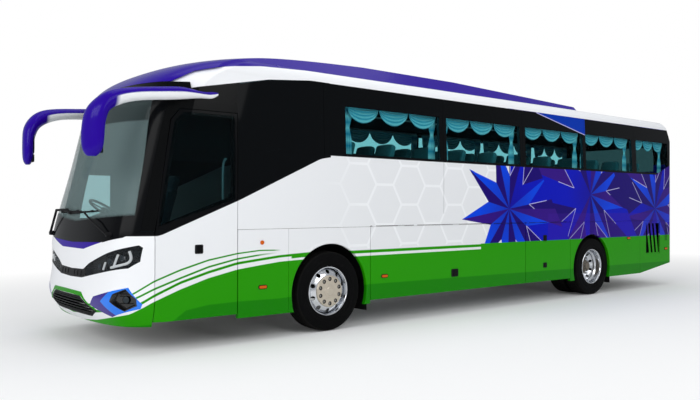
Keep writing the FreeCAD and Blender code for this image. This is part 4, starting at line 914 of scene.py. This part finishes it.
def guide_white():
    finish = Finish("guide_white")
    rib = finish.noise(60.0, 2.0)
    return finish.surface(Base_Color=shade(222, 226, 228), Roughness=0.25 + rib * 0.1,
                          Emission_Color=(0.8, 0.85, 0.9, 1), Emission_Strength=0.12)


# The middle of the moulding stays plain. Each end is a pocket, and the patch of
# skin over it becomes the clear cover.
lamp_end = 0.43
cover_thickness = 0.003
pocket_rim = 0.011
pocket_depth = 0.045
housing = bmesh.new()
housing.from_mesh(nodes["headlamps"].data)
bmesh.ops.translate(housing, verts=housing.verts, vec=(-front_axle_x, 0, 0))
bmesh.ops.remove_doubles(housing, verts=housing.verts, dist=0.0002)
for place in (lamp_end, -lamp_end):
    bmesh.ops.bisect_plane(housing, geom=housing.verts[:] + housing.edges[:] + housing.faces[:], dist=0.0001,
                           plane_co=(0, place, 0), plane_no=(0, 1, 0))
covers = bmesh.new()
for outward in (1, -1):
    patch = [face for face in housing.faces
             if face.calc_center_median().y * outward > lamp_end and in_front(face)]
    outline = bmesh.ops.duplicate(housing, geom=patch)["geom"]
    shell = [face for face in outline if isinstance(face, bmesh.types.BMFace)]
    only = housing.copy()
    only.faces.ensure_lookup_table()
    housing.faces.index_update()
    wanted = {face.index for face in shell}
    rest = [face for face in only.faces if face.index not in wanted]
    bmesh.ops.delete(only, geom=rest, context="FACES")
    sheet = meshed("sheet", only)
    covers.from_mesh(sheet)
    bpy.data.meshes.remove(sheet)
    bmesh.ops.delete(housing, geom=shell, context="FACES")
    bmesh.ops.inset_region(housing, faces=[face for face in patch if face.is_valid], thickness=pocket_rim,
                           depth=-pocket_depth, use_even_offset=False, use_boundary=True)
bmesh.ops.solidify(covers, geom=covers.faces[:], thickness=cover_thickness)
lamp_black = trim("lamp_black", shade(10, 11, 12), 0.16, 90.0, 0.0002)
case = fitted("lamp_housing", housing, lamp_black, "body", 25)
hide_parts("headlamps")
fitted("lamp_covers", covers, lamp_glass(), "body", 25)

twin_guides = (((0.836, 0.966), (0.815, 0.93), (0.79, 0.886)), ((1.03, 1.056), (1.005, 1.0), (0.975, 0.936)))
hook_guide = ((1.122, 1.094), (1.135, 1.05), (1.135, 1.0), (1.112, 0.965), (1.07, 0.95), (1.0, 0.932),
              (0.93, 0.915))
lens_units = ((0.9, 0.975, 0.042), (1.065, 1.02, 0.036), (0.70, 0.915, 0.036))
twin_sunk, twin_radius, twin_gap = -0.016, 0.0075, 0.006
hook_sunk, hook_radius = -0.018, 0.0145
unit_sunk, unit_toe_out = -0.034, 0.25
guides = bmesh.new()
units = bmesh.new()
lenses = bmesh.new()
for outward in (1, -1):
    for path in twin_guides:
        for step in (-twin_gap, twin_gap):
            swept(guides, [on_nose(outward * (y + step), z, twin_sunk) for y, z in path], twin_radius)
    swept(guides, [on_nose(outward * y, z, hook_sunk) for y, z in hook_guide], hook_radius)
    for y, z, radius in lens_units:
        place = standing(on_nose(outward * y, z, unit_sunk), (1, outward * unit_toe_out, 0))
        disc(units, radius, radius * 0.9, 0.02, place, 32)
        lens(lenses, radius * 0.8, 0.4, place, 0.009, 12)
fitted("light_guides", guides, guide_white(), "body")
fitted("lens_rings", units, metal("lens_ring", shade(110, 114, 118), 0.15, 1.0), "body")
lens_glass = trim("lens_glass", shade(34, 42, 48), 0.04, 20.0, 0.0001)
fitted("lens_balls", lenses, lens_glass, "body")


# Each fog pod is a blue moulding with a violet arrow head at its inner end and
# a black pocket, in which the fog lamp sits behind three fins.
pocket_corners = [(0.99, 0.645), (1.1, 0.7), (1.166, 0.595), (1.164, 0.52), (1.078, 0.462), (0.958, 0.565)]
arrow_tip, arrow_height = 0.826, 0.56
fog_across, fog_height, fog_toe_out = 1.075, 0.585, 0.75
fin_heights, fin_line, fin_radius = (0.545, 0.62, 0.645), (1.02, 1.07, 1.12), 0.004


# A mask that is 1 inside a flat outline of straight runs.
def within(u, v, corners, soft=0.004):
    inside = None
    middle_u = sum(corner[0] for corner in corners) / len(corners)
    middle_v = sum(corner[1] for corner in corners) / len(corners)
    for (u0, v0), (u1, v1) in zip(corners, corners[1:] + corners[:1]):
        across, up = v1 - v0, u0 - u1
        size = math.hypot(across, up)
        if (middle_u - u0) * across + (middle_v - v0) * up < 0:
            size = -size
        side = ((u - u0) * (across / size) + (v - v0) * (up / size)).above(0, soft)
        inside = side if inside is None else inside * side
    return inside


def pod_colours():
    finish = Finish("pod_colours")
    x, y, z = finish.place()
    across = abs(y)
    blue = (across - arrow_tip - abs(z - arrow_height) * 1.1).above(0)
    colour = finish.mix(blue, shade(40, 4, 132), shade(8, 118, 236))
    colour = finish.mix(within(across, z, pocket_corners), colour, shade(14, 14, 16))
    grain = finish.noise(300.0, 2.0)
    return finish.surface(Base_Color=colour, Roughness=0.2 + grain * 0.05, Coat_Weight=0.3,
                          Normal=finish.bump(grain, 0.03, 0.0004))


paint(pod_colours(), "fog_pods")
rings = bmesh.new()
lenses = bmesh.new()
fins = bmesh.new()
for outward in (1, -1):
    seat = on_nose(outward * fog_across, fog_height, 0.006)
    place = standing(seat, (1, outward * fog_toe_out, 0))
    disc(rings, 0.044, 0.04, 0.022, place)
    lens(lenses, 0.036, 0.35, place, 0.01)
    for z in fin_heights:
        swept(fins, [on_nose(outward * y, z, fin_radius) for y in fin_line], fin_radius)
fitted("fog_rings", rings, black_gloss, "body")
fog_glass = trim("fog_glass", shade(52, 58, 62), 0.05, 20.0, 0.0001)
fitted("fog_lenses", lenses, fog_glass, "body")
fitted("fog_fins", fins, dark_plastic, "body")


# The lower grille is black plastic bars. A green lip is let in along its top
# edge and down its slanted ends, and six short ribs stand on the nose strip.
lip_line = [(-0.712, 0.452), (-0.56, 0.524), (-0.42, 0.59), (-0.2, 0.594), (0, 0.595), (0.2, 0.594),
            (0.42, 0.59), (0.56, 0.524), (0.712, 0.452)]
lip_radius = 0.009
rib_places, rib_heights = (-0.3, -0.2, -0.1, 0.1, 0.2, 0.3), (0.79, 0.82, 0.845)
lip = bmesh.new()
for rise in (0.0, 0.014, 0.028):
    swept(lip, [on_nose(y, z + rise * (abs(y) < 0.5), 0.001) for y, z in lip_line], lip_radius, False)
fitted("grille_lip", lip, sprayed("lip_green", skirt_green), "body")
ribs = bmesh.new()
for y in rib_places:
    swept(ribs, [on_nose(y, z) for z in rib_heights], 0.004)
fitted("strip_ribs", ribs, black_gloss, "body")


# Two wipers rest low on the windscreen: steel arms painted black, each with
# its pivot cap on the mask and a rubber blade on a jointed carrier.
right_wiper = ((-0.93, 1.225), (-0.6, 1.50), (-0.2, 1.515), (-0.56, 1.485), (0.16, 1.5))
left_wiper = ((0.9, 1.262), (0.6, 1.392), (0.31, 1.49), (-0.24, 1.47), (0.585, 1.505))
arm_radius, stay_radius, carrier_radius, blade_radius = 0.0105, 0.006, 0.007, 0.009
arms = bmesh.new()
blades = bmesh.new()
for pivot, elbow, grip, (y0, z0), (y1, z1) in (right_wiper, left_wiper):
    foot = on_nose(*pivot)
    cap_middle = foot + Vector((0.01, 0, 0))
    disc(arms, 0.032, 0.024, 0.07, Matrix.Translation(cap_middle) @ Matrix.Rotation(math.pi / 2, 4, "Y"), 24)
    run = [foot + Vector((0.04, 0, 0)), on_nose(*elbow, 0.07), on_nose(*grip, 0.045)]
    swept(arms, run, arm_radius, False)
    swept(arms, [point + Vector((0, 0.035, -0.012)) for point in run], stay_radius, False)
    places = [(y0 + (y1 - y0) * i / 8, z0 + (z1 - z0) * i / 8) for i in range(9)]
    swept(blades, [on_nose(y, z, 0.012) for y, z in places], blade_radius)
    carrier = [on_nose(*places[i], 0.026 + 0.016 * (i % 4 == 0)) for i in (1, 2, 4, 6, 7)]
    swept(arms, carrier, carrier_radius)
    for i in (1, 4, 7):
        bmesh.ops.create_cube(arms, size=0.026, matrix=Matrix.Translation(on_nose(*places[i], 0.024)))
fitted("wiper_arms", arms, dark_plastic, "body")
fitted("wiper_blades", blades, dark_plastic, "body")


# Behind each mirror head a flat glass sits in a black rim, with a small wide
# angle glass below it.
mirror_across = 1.062
mirror_round = 0.035


def mirror_glass():
    finish = Finish("mirror_glass")
    smear = finish.noise(8.0, 3.0)
    return finish.surface(Base_Color=shade(188, 196, 202), Metallic=1.0, Roughness=0.03 + smear * 0.05)


def block(build, size, place):
    made = bmesh.ops.create_cube(build, size=1)["verts"]
    bmesh.ops.scale(build, verts=made, vec=size)
    bmesh.ops.transform(build, verts=made, matrix=place)
    return made


# Rounds those edges of a block that run along this direction.
def round_edges(build, made, direction, offset, segments):
    edges = [edge for edge in {edge for vert in made for edge in vert.link_edges}
             if abs((edge.verts[0].co - edge.verts[1].co).dot(direction)) > 0.001]
    bmesh.ops.bevel(build, geom=edges, offset=offset, segments=segments, profile=0.5, affect="EDGES",
                    material=-1)


silver = mirror_glass()
for side, outward, turn, lead in (("left", 1, 30, 2.938), ("right", -1, 11, 2.956)):
    rims = bmesh.new()
    glasses = bmesh.new()
    facing = Vector((-math.cos(math.radians(turn)), -outward * math.sin(math.radians(turn)), 0))
    for z, width, height in ((2.335, 0.185, 0.25), (2.15, 0.165, 0.09)):
        place = standing(Vector((lead, outward * mirror_across, z)), facing)
        for build, grow, low, high in ((rims, 1.0, 0.025, 0.066), (glasses, 0.9, 0.03, 0.069)):
            middle = place @ Matrix.Translation((0, 0, (low + high) / 2))
            made = block(build, (width * grow, height * grow, high - low), middle)
            round_edges(build, made, facing, mirror_round * min(1, height * 4), 6)
    fitted("mirror_rim_" + side, rims, dark_plastic, "body")
    fitted("mirror_glass_" + side, glasses, silver, "body")


# Latches, the door handle and the amber side markers are small mouldings let
# into the side: a black frame with a paddle, or a clear amber lens in a base.
panel_in = 1.243
panel_out = 1.25


def pad(build, lead, z, width, height, low, high, outward, round_off=0.3, segments=4):
    middle = Matrix.Translation((lead, outward * (low + high) / 2, z))
    made = block(build, (width, high - low, height), middle)
    round_edges(build, made, Vector((0, 1, 0)), min(width, height) * round_off, segments)


def marker(bases, lenses, lead, z, outward):
    pad(bases, lead, z, 0.125, 0.05, panel_in, 1.2525, outward, 0.45)
    pad(lenses, lead, z, 0.1, 0.032, panel_out, 1.2595, outward, 0.49)


# A marker is given as its lead and height, and a latch has its own width and
# height after them.
amber = trim("amber_lens", shade(214, 96, 24), 0.12, 120.0, 0.0003)
marker_places = ((1.005, 0.624), (-7.163, 0.975), (-8.6, 0.727))
bay_marker = (-0.917, 0.636)
turn_lamp = (1.018, 1.142)
for side, outward in both_sides:
    latches = {"luggage_door_" + side: [(-2.305, 0.6, 0.15, 0.115)],
               "service_flap_" + side: [(-4.514, 1.047, 0.1, 0.1), (-4.515, 0.6, 0.1, 0.085)]}
    if outward > 0:
        latches["passenger_door"] = [(1.831, 1.094, 0.1, 0.1)]
    for body, places in latches.items():
        edging = bmesh.new()
        paddle = bmesh.new()
        for lead, z, width, height in places:
            pad(edging, lead, z, width, height, panel_in, 1.2535, outward, 0.14)
            pad(paddle, lead - width * 0.08, z, width * 0.6, height * 0.72, panel_out, 1.2575, outward, 0.12)
        fitted("latch_frame_" + body, edging, dark_plastic, body)
        fitted("latch_paddle_" + body, paddle, black_gloss, body)
    bases = bmesh.new()
    lenses = bmesh.new()
    for lead, z in marker_places:
        marker(bases, lenses, lead, z, outward)
    pad(lenses, *turn_lamp, 0.05, 0.05, panel_in, 1.2595, outward, 0.49)
    fitted("marker_bases_" + side, bases, dark_plastic, "body")
    fitted("markers_" + side, lenses, amber, "body")
    bases = bmesh.new()
    lenses = bmesh.new()
    marker(bases, lenses, *bay_marker, outward)
    fitted("marker_base_bay_" + side, bases, dark_plastic, "luggage_door_" + side)
    fitted("marker_bay_" + side, lenses, amber, "luggage_door_" + side)


# A rolled lip is welded round each wheel arch and sprayed with the body, and a
# ribbed rubber flap hangs behind each wheel. A flap is given as its lead, foot
# and head, and its nearest and farthest point from the middle.
lip_section = [(-0.004, 1.238), (-0.004, 1.2495), (0.006, 1.2545), (0.02, 1.2545), (0.03, 1.2495),
               (0.03, 1.238)]
flap_ribs, flap_thickness, flap_edge = 7, 0.008, 0.02
front_flap = (-0.64, 0.2, 0.56, 0.93, 1.2)
rear_flap = (rear_axle_lead - 0.6, 0.17, 0.6, 0.62, 1.2)


def lip_round(build, lead, radius, below, outward):
    start = -math.radians(below)
    verts = [build.verts.new((lead + (radius + r) * math.cos(start), outward * y,
                              axle_height + (radius + r) * math.sin(start))) for r, y in lip_section]
    edges = [build.edges.new((verts[i - 1], verts[i])) for i in range(len(verts))]
    bmesh.ops.spin(build, geom=verts + edges, cent=(lead, 0, axle_height), axis=(0, 1, 0),
                   angle=-math.radians(180 + 2 * below), steps=72)


rubber_flap = trim("flap_rubber", shade(20, 20, 21), 0.6, 500.0, 0.001)
for side, outward in both_sides:
    lips = bmesh.new()
    lip_round(lips, 0, 0.6, 12, outward)
    lip_round(lips, rear_axle_lead + 0.06, 0.58, 6, outward)
    fitted("arch_lips_" + side, lips, body_paint, "body")
    flaps = bmesh.new()
    for lead, low, high, near, far in (front_flap, rear_flap):
        middle = Matrix.Translation((lead, outward * (near + far) / 2, (low + high) / 2))
        block(flaps, (flap_thickness, far - near, high - low), middle)
        across = (near + flap_edge, (near + far) / 2, far - flap_edge)
        for i in range(flap_ribs):
            z = low + 2 * flap_edge + i * (high - low - 4 * flap_edge) / (flap_ribs - 1)
            swept(flaps, [(lead - flap_thickness / 2, outward * y, z) for y in across], 0.003)
    fitted("mud_flaps_" + side, flaps, rubber_flap, "body")


# Each side window has three swags of turquoise satin on its rail and a drape
# gathered at either end. They are hemmed by machine and hung on rings.
curtain_top = 2.879
cloth_faces = ((-0.345, -2.02), (-2.2, -3.86), (-4.05, -5.65), (-5.8, -7.32), (-7.5, -8.66))
swags_each = 3
swag_drop = 0.215
swag_fold = 0.009
swag_folds = 4.5
swag_plane = 1.141
drape_plane = 1.099
drape_drop = 0.69
drape_width = 0.15
drape_inset = 0.045
drape_waves = 4
tie_pull, tie_height, tie_reach = 0.55, 0.42, 0.12


# The cloth's own map has u along the rail and v down the drop.
def satin():
    finish = Finish("curtain_satin")
    u, v, w = finish.split(finish.node("ShaderNodeUVMap"))
    weave = (u * 400.0).fraction() - 0.5
    # Light and dark bands follow the folds down each drop: painted shade and painted highlights on the satin.
    fold = abs((v * swag_folds + 0.1).fraction() - 0.5) * 2
    cloud = finish.noise(6.0, 3.0)
    fold_shading = finish.mix(fold, shade(30, 156, 190), shade(226, 254, 255))
    colour = finish.mix(cloud * 0.3, fold_shading, shade(140, 240, 252))
    colour = finish.mix(v.between(0.88, 0.97, 0.02) * 0.7, colour, shade(225, 253, 255))
    return finish.surface(Base_Color=colour, Roughness=0.5, Sheen_Weight=0.3, Sheen_Roughness=0.4,
                          Normal=finish.bump(weave, 0.1, 0.0005))


def cloth_grid(build, across, down, hang):
    layer = build.loops.layers.uv.verify()
    made = bmesh.ops.create_grid(build, x_segments=across, y_segments=down, size=0.5)["verts"]
    shares = {vert: (vert.co.x + 0.5, 0.5 - vert.co.y) for vert in made}
    for face in {face for vert in made for face in vert.link_faces}:
        for loop in face.loops:
            loop[layer].uv = shares[loop.vert]
    for vert, (u, v) in shares.items():
        vert.co = hang(u, v)


curtain_satin = satin()
for side, outward in both_sides:
    swags = bmesh.new()
    drapes = bmesh.new()
    for front, back in cloth_faces:
        width = (front - back) / swags_each
        for i in range(swags_each):
            start = front - i * width

            def swag(u, v):
                share = max(0.0, 1 - (2 * u - 1) ** 2) ** 0.55
                fold = math.sin(2 * math.pi * (swag_folds * v + 0.1)) * share
                return (start - u * width, outward * (swag_plane + swag_fold * fold),
                        curtain_top - v * swag_drop * share)
            cloth_grid(swags, 24, 28, swag)
        for middle in (front - drape_inset, back + drape_inset):

            def drape(u, v):
                tie = 1 - tie_pull * math.exp(-((v - tie_height) / tie_reach) ** 2)
                wave = math.sin(2 * math.pi * drape_waves * u) * (0.6 + 0.4 * v)
                return (middle + (0.5 - u) * drape_width * tie, outward * (drape_plane + 0.014 * wave * tie),
                        curtain_top - v * drape_drop)
            cloth_grid(drapes, 40, 16, drape)
    hung = fitted("swags_" + side, swags, curtain_satin, "body", 60)
    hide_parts("curtains")
    hung = fitted("drapes_" + side, drapes, curtain_satin, "body", 60)


# The seats are foam on steel frames in a dark teal moquette with sewn channels
# across the back, and a pale cover on each head rest. They stand in pairs.
seat_rows = 11
seat_pitch = 0.74
seat_front = 0.15
seat_floor = 1.32
seat_places = (0.415, 0.845, -0.415, -0.845)
back_lean = math.radians(-16.6)
leg_radius, bearer_radius = 0.016, 0.014
head_cover_foot = 0.93


def moquette():
    finish = Finish("seat_moquette")
    x, y, z = finish.place()
    weave = abs((y * 260.0).fraction() - 0.5) * abs((z * 260.0 + x * 90.0).fraction() - 0.5)
    spots = finish.node("ShaderNodeTexVoronoi", {}, {"Vector": finish.spot(), "Scale": 26.0})
    channel = abs((z * 9.0 + 0.2).fraction() - 0.5).below(0.03, 0.03)
    cloth = finish.mix(spots.below(0.2, 0.05), shade(18, 50, 62), shade(38, 104, 118))
    colour = finish.mix(z.above(seat_floor + head_cover_foot), cloth, shade(64, 116, 122))
    return finish.surface(Base_Color=colour, Roughness=0.9, Sheen_Weight=0.25,
                          Normal=finish.bump(weave * 0.4 - channel, 0.4, 0.006))


# A soft block is a cushion's form: points gather towards its edges, which are
# rounded, its sides pull in between the corners, and its upper face is crowned.
def soft_block(build, length, width, height, round_off, crown, place):
    first = len(build.verts)
    made = bmesh.ops.create_cube(build, size=2)["verts"]
    edges = list({edge for vert in made for edge in vert.link_edges})
    bmesh.ops.subdivide_edges(build, edges=edges, cuts=6, use_grid_fill=True)
    build.verts.ensure_lookup_table()
    cushion = build.verts[first:]
    half = Vector((length / 2, width / 2, height / 2))
    core = half - Vector((round_off, round_off, round_off))
    for vert in cushion:
        share = Vector([math.sin(value * math.pi / 2) for value in vert.co])
        point = Vector([s * h for s, h in zip(share, half)])
        inner = Vector([max(-c, min(c, p)) for c, p in zip(core, point)])
        gap = point - inner
        if gap.length > 0:
            point = inner + gap.normalized() * round_off
        bow = [1 - s * s for s in share]
        point.x *= 1 - 0.03 * (1 - bow[0]) * bow[1]
        point.y *= 1 - 0.03 * (1 - bow[1]) * bow[0]
        point.z += crown * bow[0] * bow[1] * (share.z > 0)
        vert.co = point
    bmesh.ops.transform(build, verts=cushion, matrix=place)


def add_form(build, form, place):
    first = len(build.verts)
    build.from_mesh(form)
    build.verts.ensure_lookup_table()
    bmesh.ops.transform(build, verts=build.verts[first:], matrix=place)


pattern = bmesh.new()
lean = Matrix.Rotation(back_lean, 4, "Y")
soft_block(pattern, 0.47, 0.415, 0.12, 0.04, 0.012, Matrix.Translation((-0.238, 0, 0.383)))
soft_block(pattern, 0.1, 0.415, 0.53, 0.04, 0.0, Matrix.Translation((-0.597, 0, 0.68)) @ lean)
soft_block(pattern, 0.1, 0.35, 0.22, 0.04, 0.012, Matrix.Translation((-0.697, 0, 1.0)) @ lean)
for y in (-0.178, 0.178):
    soft_block(pattern, 0.09, 0.055, 0.42, 0.025, 0.0, Matrix.Translation((-0.545, y, 0.7)) @ lean)
seat_form = meshed("seat_form", pattern)
pattern = bmesh.new()
for y in (-0.16, 0.16):
    for knee, foot in ((-0.4, -0.36), (-0.12, -0.14)):
        swept(pattern, [(knee, y, 0.325), (foot, y, 0.18), (foot, y, 0)], leg_radius, False, 1)
    swept(pattern, [(-0.43, y, 0.33), (-0.05, y, 0.33)], bearer_radius, False, 1)
steel_form = meshed("steel_form", pattern)
moquette_cloth = moquette()
seat_steel = trim("seat_steel", shade(70, 72, 76), 0.4, 300.0, 0.0004)
rows = [Matrix.Translation((seat_front - row * seat_pitch, y, seat_floor))
        for row in range(seat_rows) for y in seat_places]
driver_place = [Matrix.Translation((1.95, -0.64, 0.85))]
for name, places, node in (("seat", rows, "passenger_seats"), ("driver", driver_place, "driver_seat")):
    cushions = bmesh.new()
    frames = bmesh.new()
    for place in places:
        add_form(cushions, seat_form, place)
        add_form(frames, steel_form, place)
    padded = fitted(name + "_cushions", cushions, moquette_cloth, "body", 50)
    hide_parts(node)
    fitted(name + "_frames", frames, seat_steel, "body", 50)


# The driver's instruments sit in a padded hood ahead of the wheel, beside a
# padded screen. A bright grab rail stands at the door's rear edge.
hood = bmesh.new()
soft_block(hood, 0.16, 0.5, 0.1, 0.035, 0.02, Matrix.Translation((2.42, -0.64, 1.31)))
soft_block(hood, 0.05, 0.3, 0.2, 0.018, 0.0, Matrix.Translation((2.36, -0.12, 1.37)))
fitted("instrument_hood", hood, dash_skin, "body", 40)
rail_line = [(1.47, 1.2, 1.52), (1.47, 1.13, 1.52), (1.47, 1.13, 1.8), (1.47, 1.13, 2.1), (1.47, 1.2, 2.1)]
rail = bmesh.new()
swept(rail, rail_line, 0.013)
fitted("door_rail", rail, bright_steel, "passenger_door")


# The rear lamps are round units in a red moulding: stop, turn and reversing,
# each in a bright ring. Red reflectors are glued to the bumper below them.
tail_skin = skin_of("tail_lamps", "rear_wall", "engine_lid", "rear_bumper", "rear_window")
lamp_tones = {"red": shade(176, 8, 12), "amber": shade(220, 110, 20), "white": shade(214, 216, 220)}
lamp_heights = {"red": 1.335, "amber": 1.195, "white": 1.055}
lamp_across = 1.1
reflector_across, reflector_height = 0.95, 0.53


def on_tail(y, z, lift=0.0):
    return on_skin(tail_skin, -12, y, z, lift)


lamp_rings = bmesh.new()
lamp_builds = {name: bmesh.new() for name in lamp_tones}
for outward in (1, -1):
    for name, z in lamp_heights.items():
        seat = Matrix.Translation(on_tail(outward * lamp_across, z))
        place = seat @ Matrix.Rotation(-math.pi / 2, 4, "Y")
        disc(lamp_rings, 0.058, 0.052, 0.02, place)
        lens(lamp_builds[name], 0.048, 0.3, place, 0.008)
    seat = Matrix.Translation(on_tail(outward * reflector_across, reflector_height, 0.003))
    block(lamp_builds["red"], (0.012, 0.16, 0.05), seat)
fitted("tail_rings", lamp_rings, bright_rim, "body")
for name, build in lamp_builds.items():
    glass = trim("tail_glass_" + name, lamp_tones[name], 0.08, 150.0, 0.0003)
    fitted("tail_units_" + name, build, glass, "body")


# The engine lid has three black louvre bars across each of its two air slots,
# a bare number plate below them with a small lamp hood, and a pull handle.
louvre_line = (-0.63, -0.3, 0, 0.3, 0.63)
louvre_gap, louvre_radius = 0.022, 0.007
louvres = bmesh.new()
for low in (0.96, 1.12):
    for i in range(3):
        line = [on_tail(y, 1.08, -0.012) for y in louvre_line]
        for point in line:
            point.z = low + 0.014 + i * louvre_gap
        swept(louvres, line, louvre_radius)
fitted("lid_louvres", louvres, dark_plastic, "engine_lid")
plate = bmesh.new()
made = block(plate, (0.006, 0.52, 0.12), Matrix.Translation(on_tail(0, 0.82, 0.004)))
round_edges(plate, made, Vector((1, 0, 0)), 0.012, 4)
plate_sheet = trim("plate_sheet", shade(225, 226, 224), 0.35, 200.0, 0.0003)
fitted("blank_plate", plate, plate_sheet, "engine_lid")
handle = [on_tail(y, 0.69, lift) for y, lift in ((-0.12, 0), (-0.12, 0.01), (0.12, 0.01), (0.12, 0))]
hood = [on_tail(y, 0.905, 0.008) for y in (-0.1, 0.1)]
fittings = bmesh.new()
swept(fittings, handle, 0.009, False)
swept(fittings, hood, 0.012, False)
fitted("lid_fittings", fittings, dark_plastic, "engine_lid")


# The roof unit has four round fans, each sunk under a wire guard, in its white moulded lid. Behind the slats
# of each side grille stands a black sheet as painted shade, and three thin black ribs after the last slat
# stand for thin slots as painted shade.
fan_leads = (-1.25, -1.87, -2.5, -3.12)
fan_top, ring_top, spoke_top = 3.4295, 3.4345, 3.436
guard_wire = 0.003
guard_reach = 0.23
ring_sides = 32
fans = bmesh.new()
guards = bmesh.new()
for lead in fan_leads:
    for i in range(4):
        radius = 0.06 + 0.055 * i
        turns = [2 * math.pi * step / ring_sides for step in range(ring_sides + 1)]
        ring = [(lead + radius * math.cos(turn), radius * math.sin(turn), ring_top) for turn in turns]
        swept(guards, ring, guard_wire, False, 1)
    for i in range(6):
        across, along = guard_reach * math.sin(i * math.pi / 6), guard_reach * math.cos(i * math.pi / 6)
        spoke = [(lead - along, -across, spoke_top), (lead + along, across, spoke_top)]
        swept(guards, spoke, guard_wire, False, 1)
    disc(fans, 0.245, 0.235, 0.008, Matrix.Translation((lead, 0, fan_top)), 48)
fitted("fan_wells", fans, dark_plastic, "body")
fitted("fan_guards", guards, bright_steel, "body")
# The black sheets and ribs are painted shade: they stand where the grille openings and slots show only
# darkness.
shade_sheets = bmesh.new()
for outward in (1, -1):
    pad(shade_sheets, -8.12, 0.955, 0.8, 0.6, 1.13, 1.15, outward, 0.05)
    for i in range(3):
        pad(shade_sheets, -8.57 - i * 0.035, 1.06, 0.012, 0.34, panel_in, 1.2512, outward)
fitted("grille_screens", shade_sheets, dark_plastic, "body")
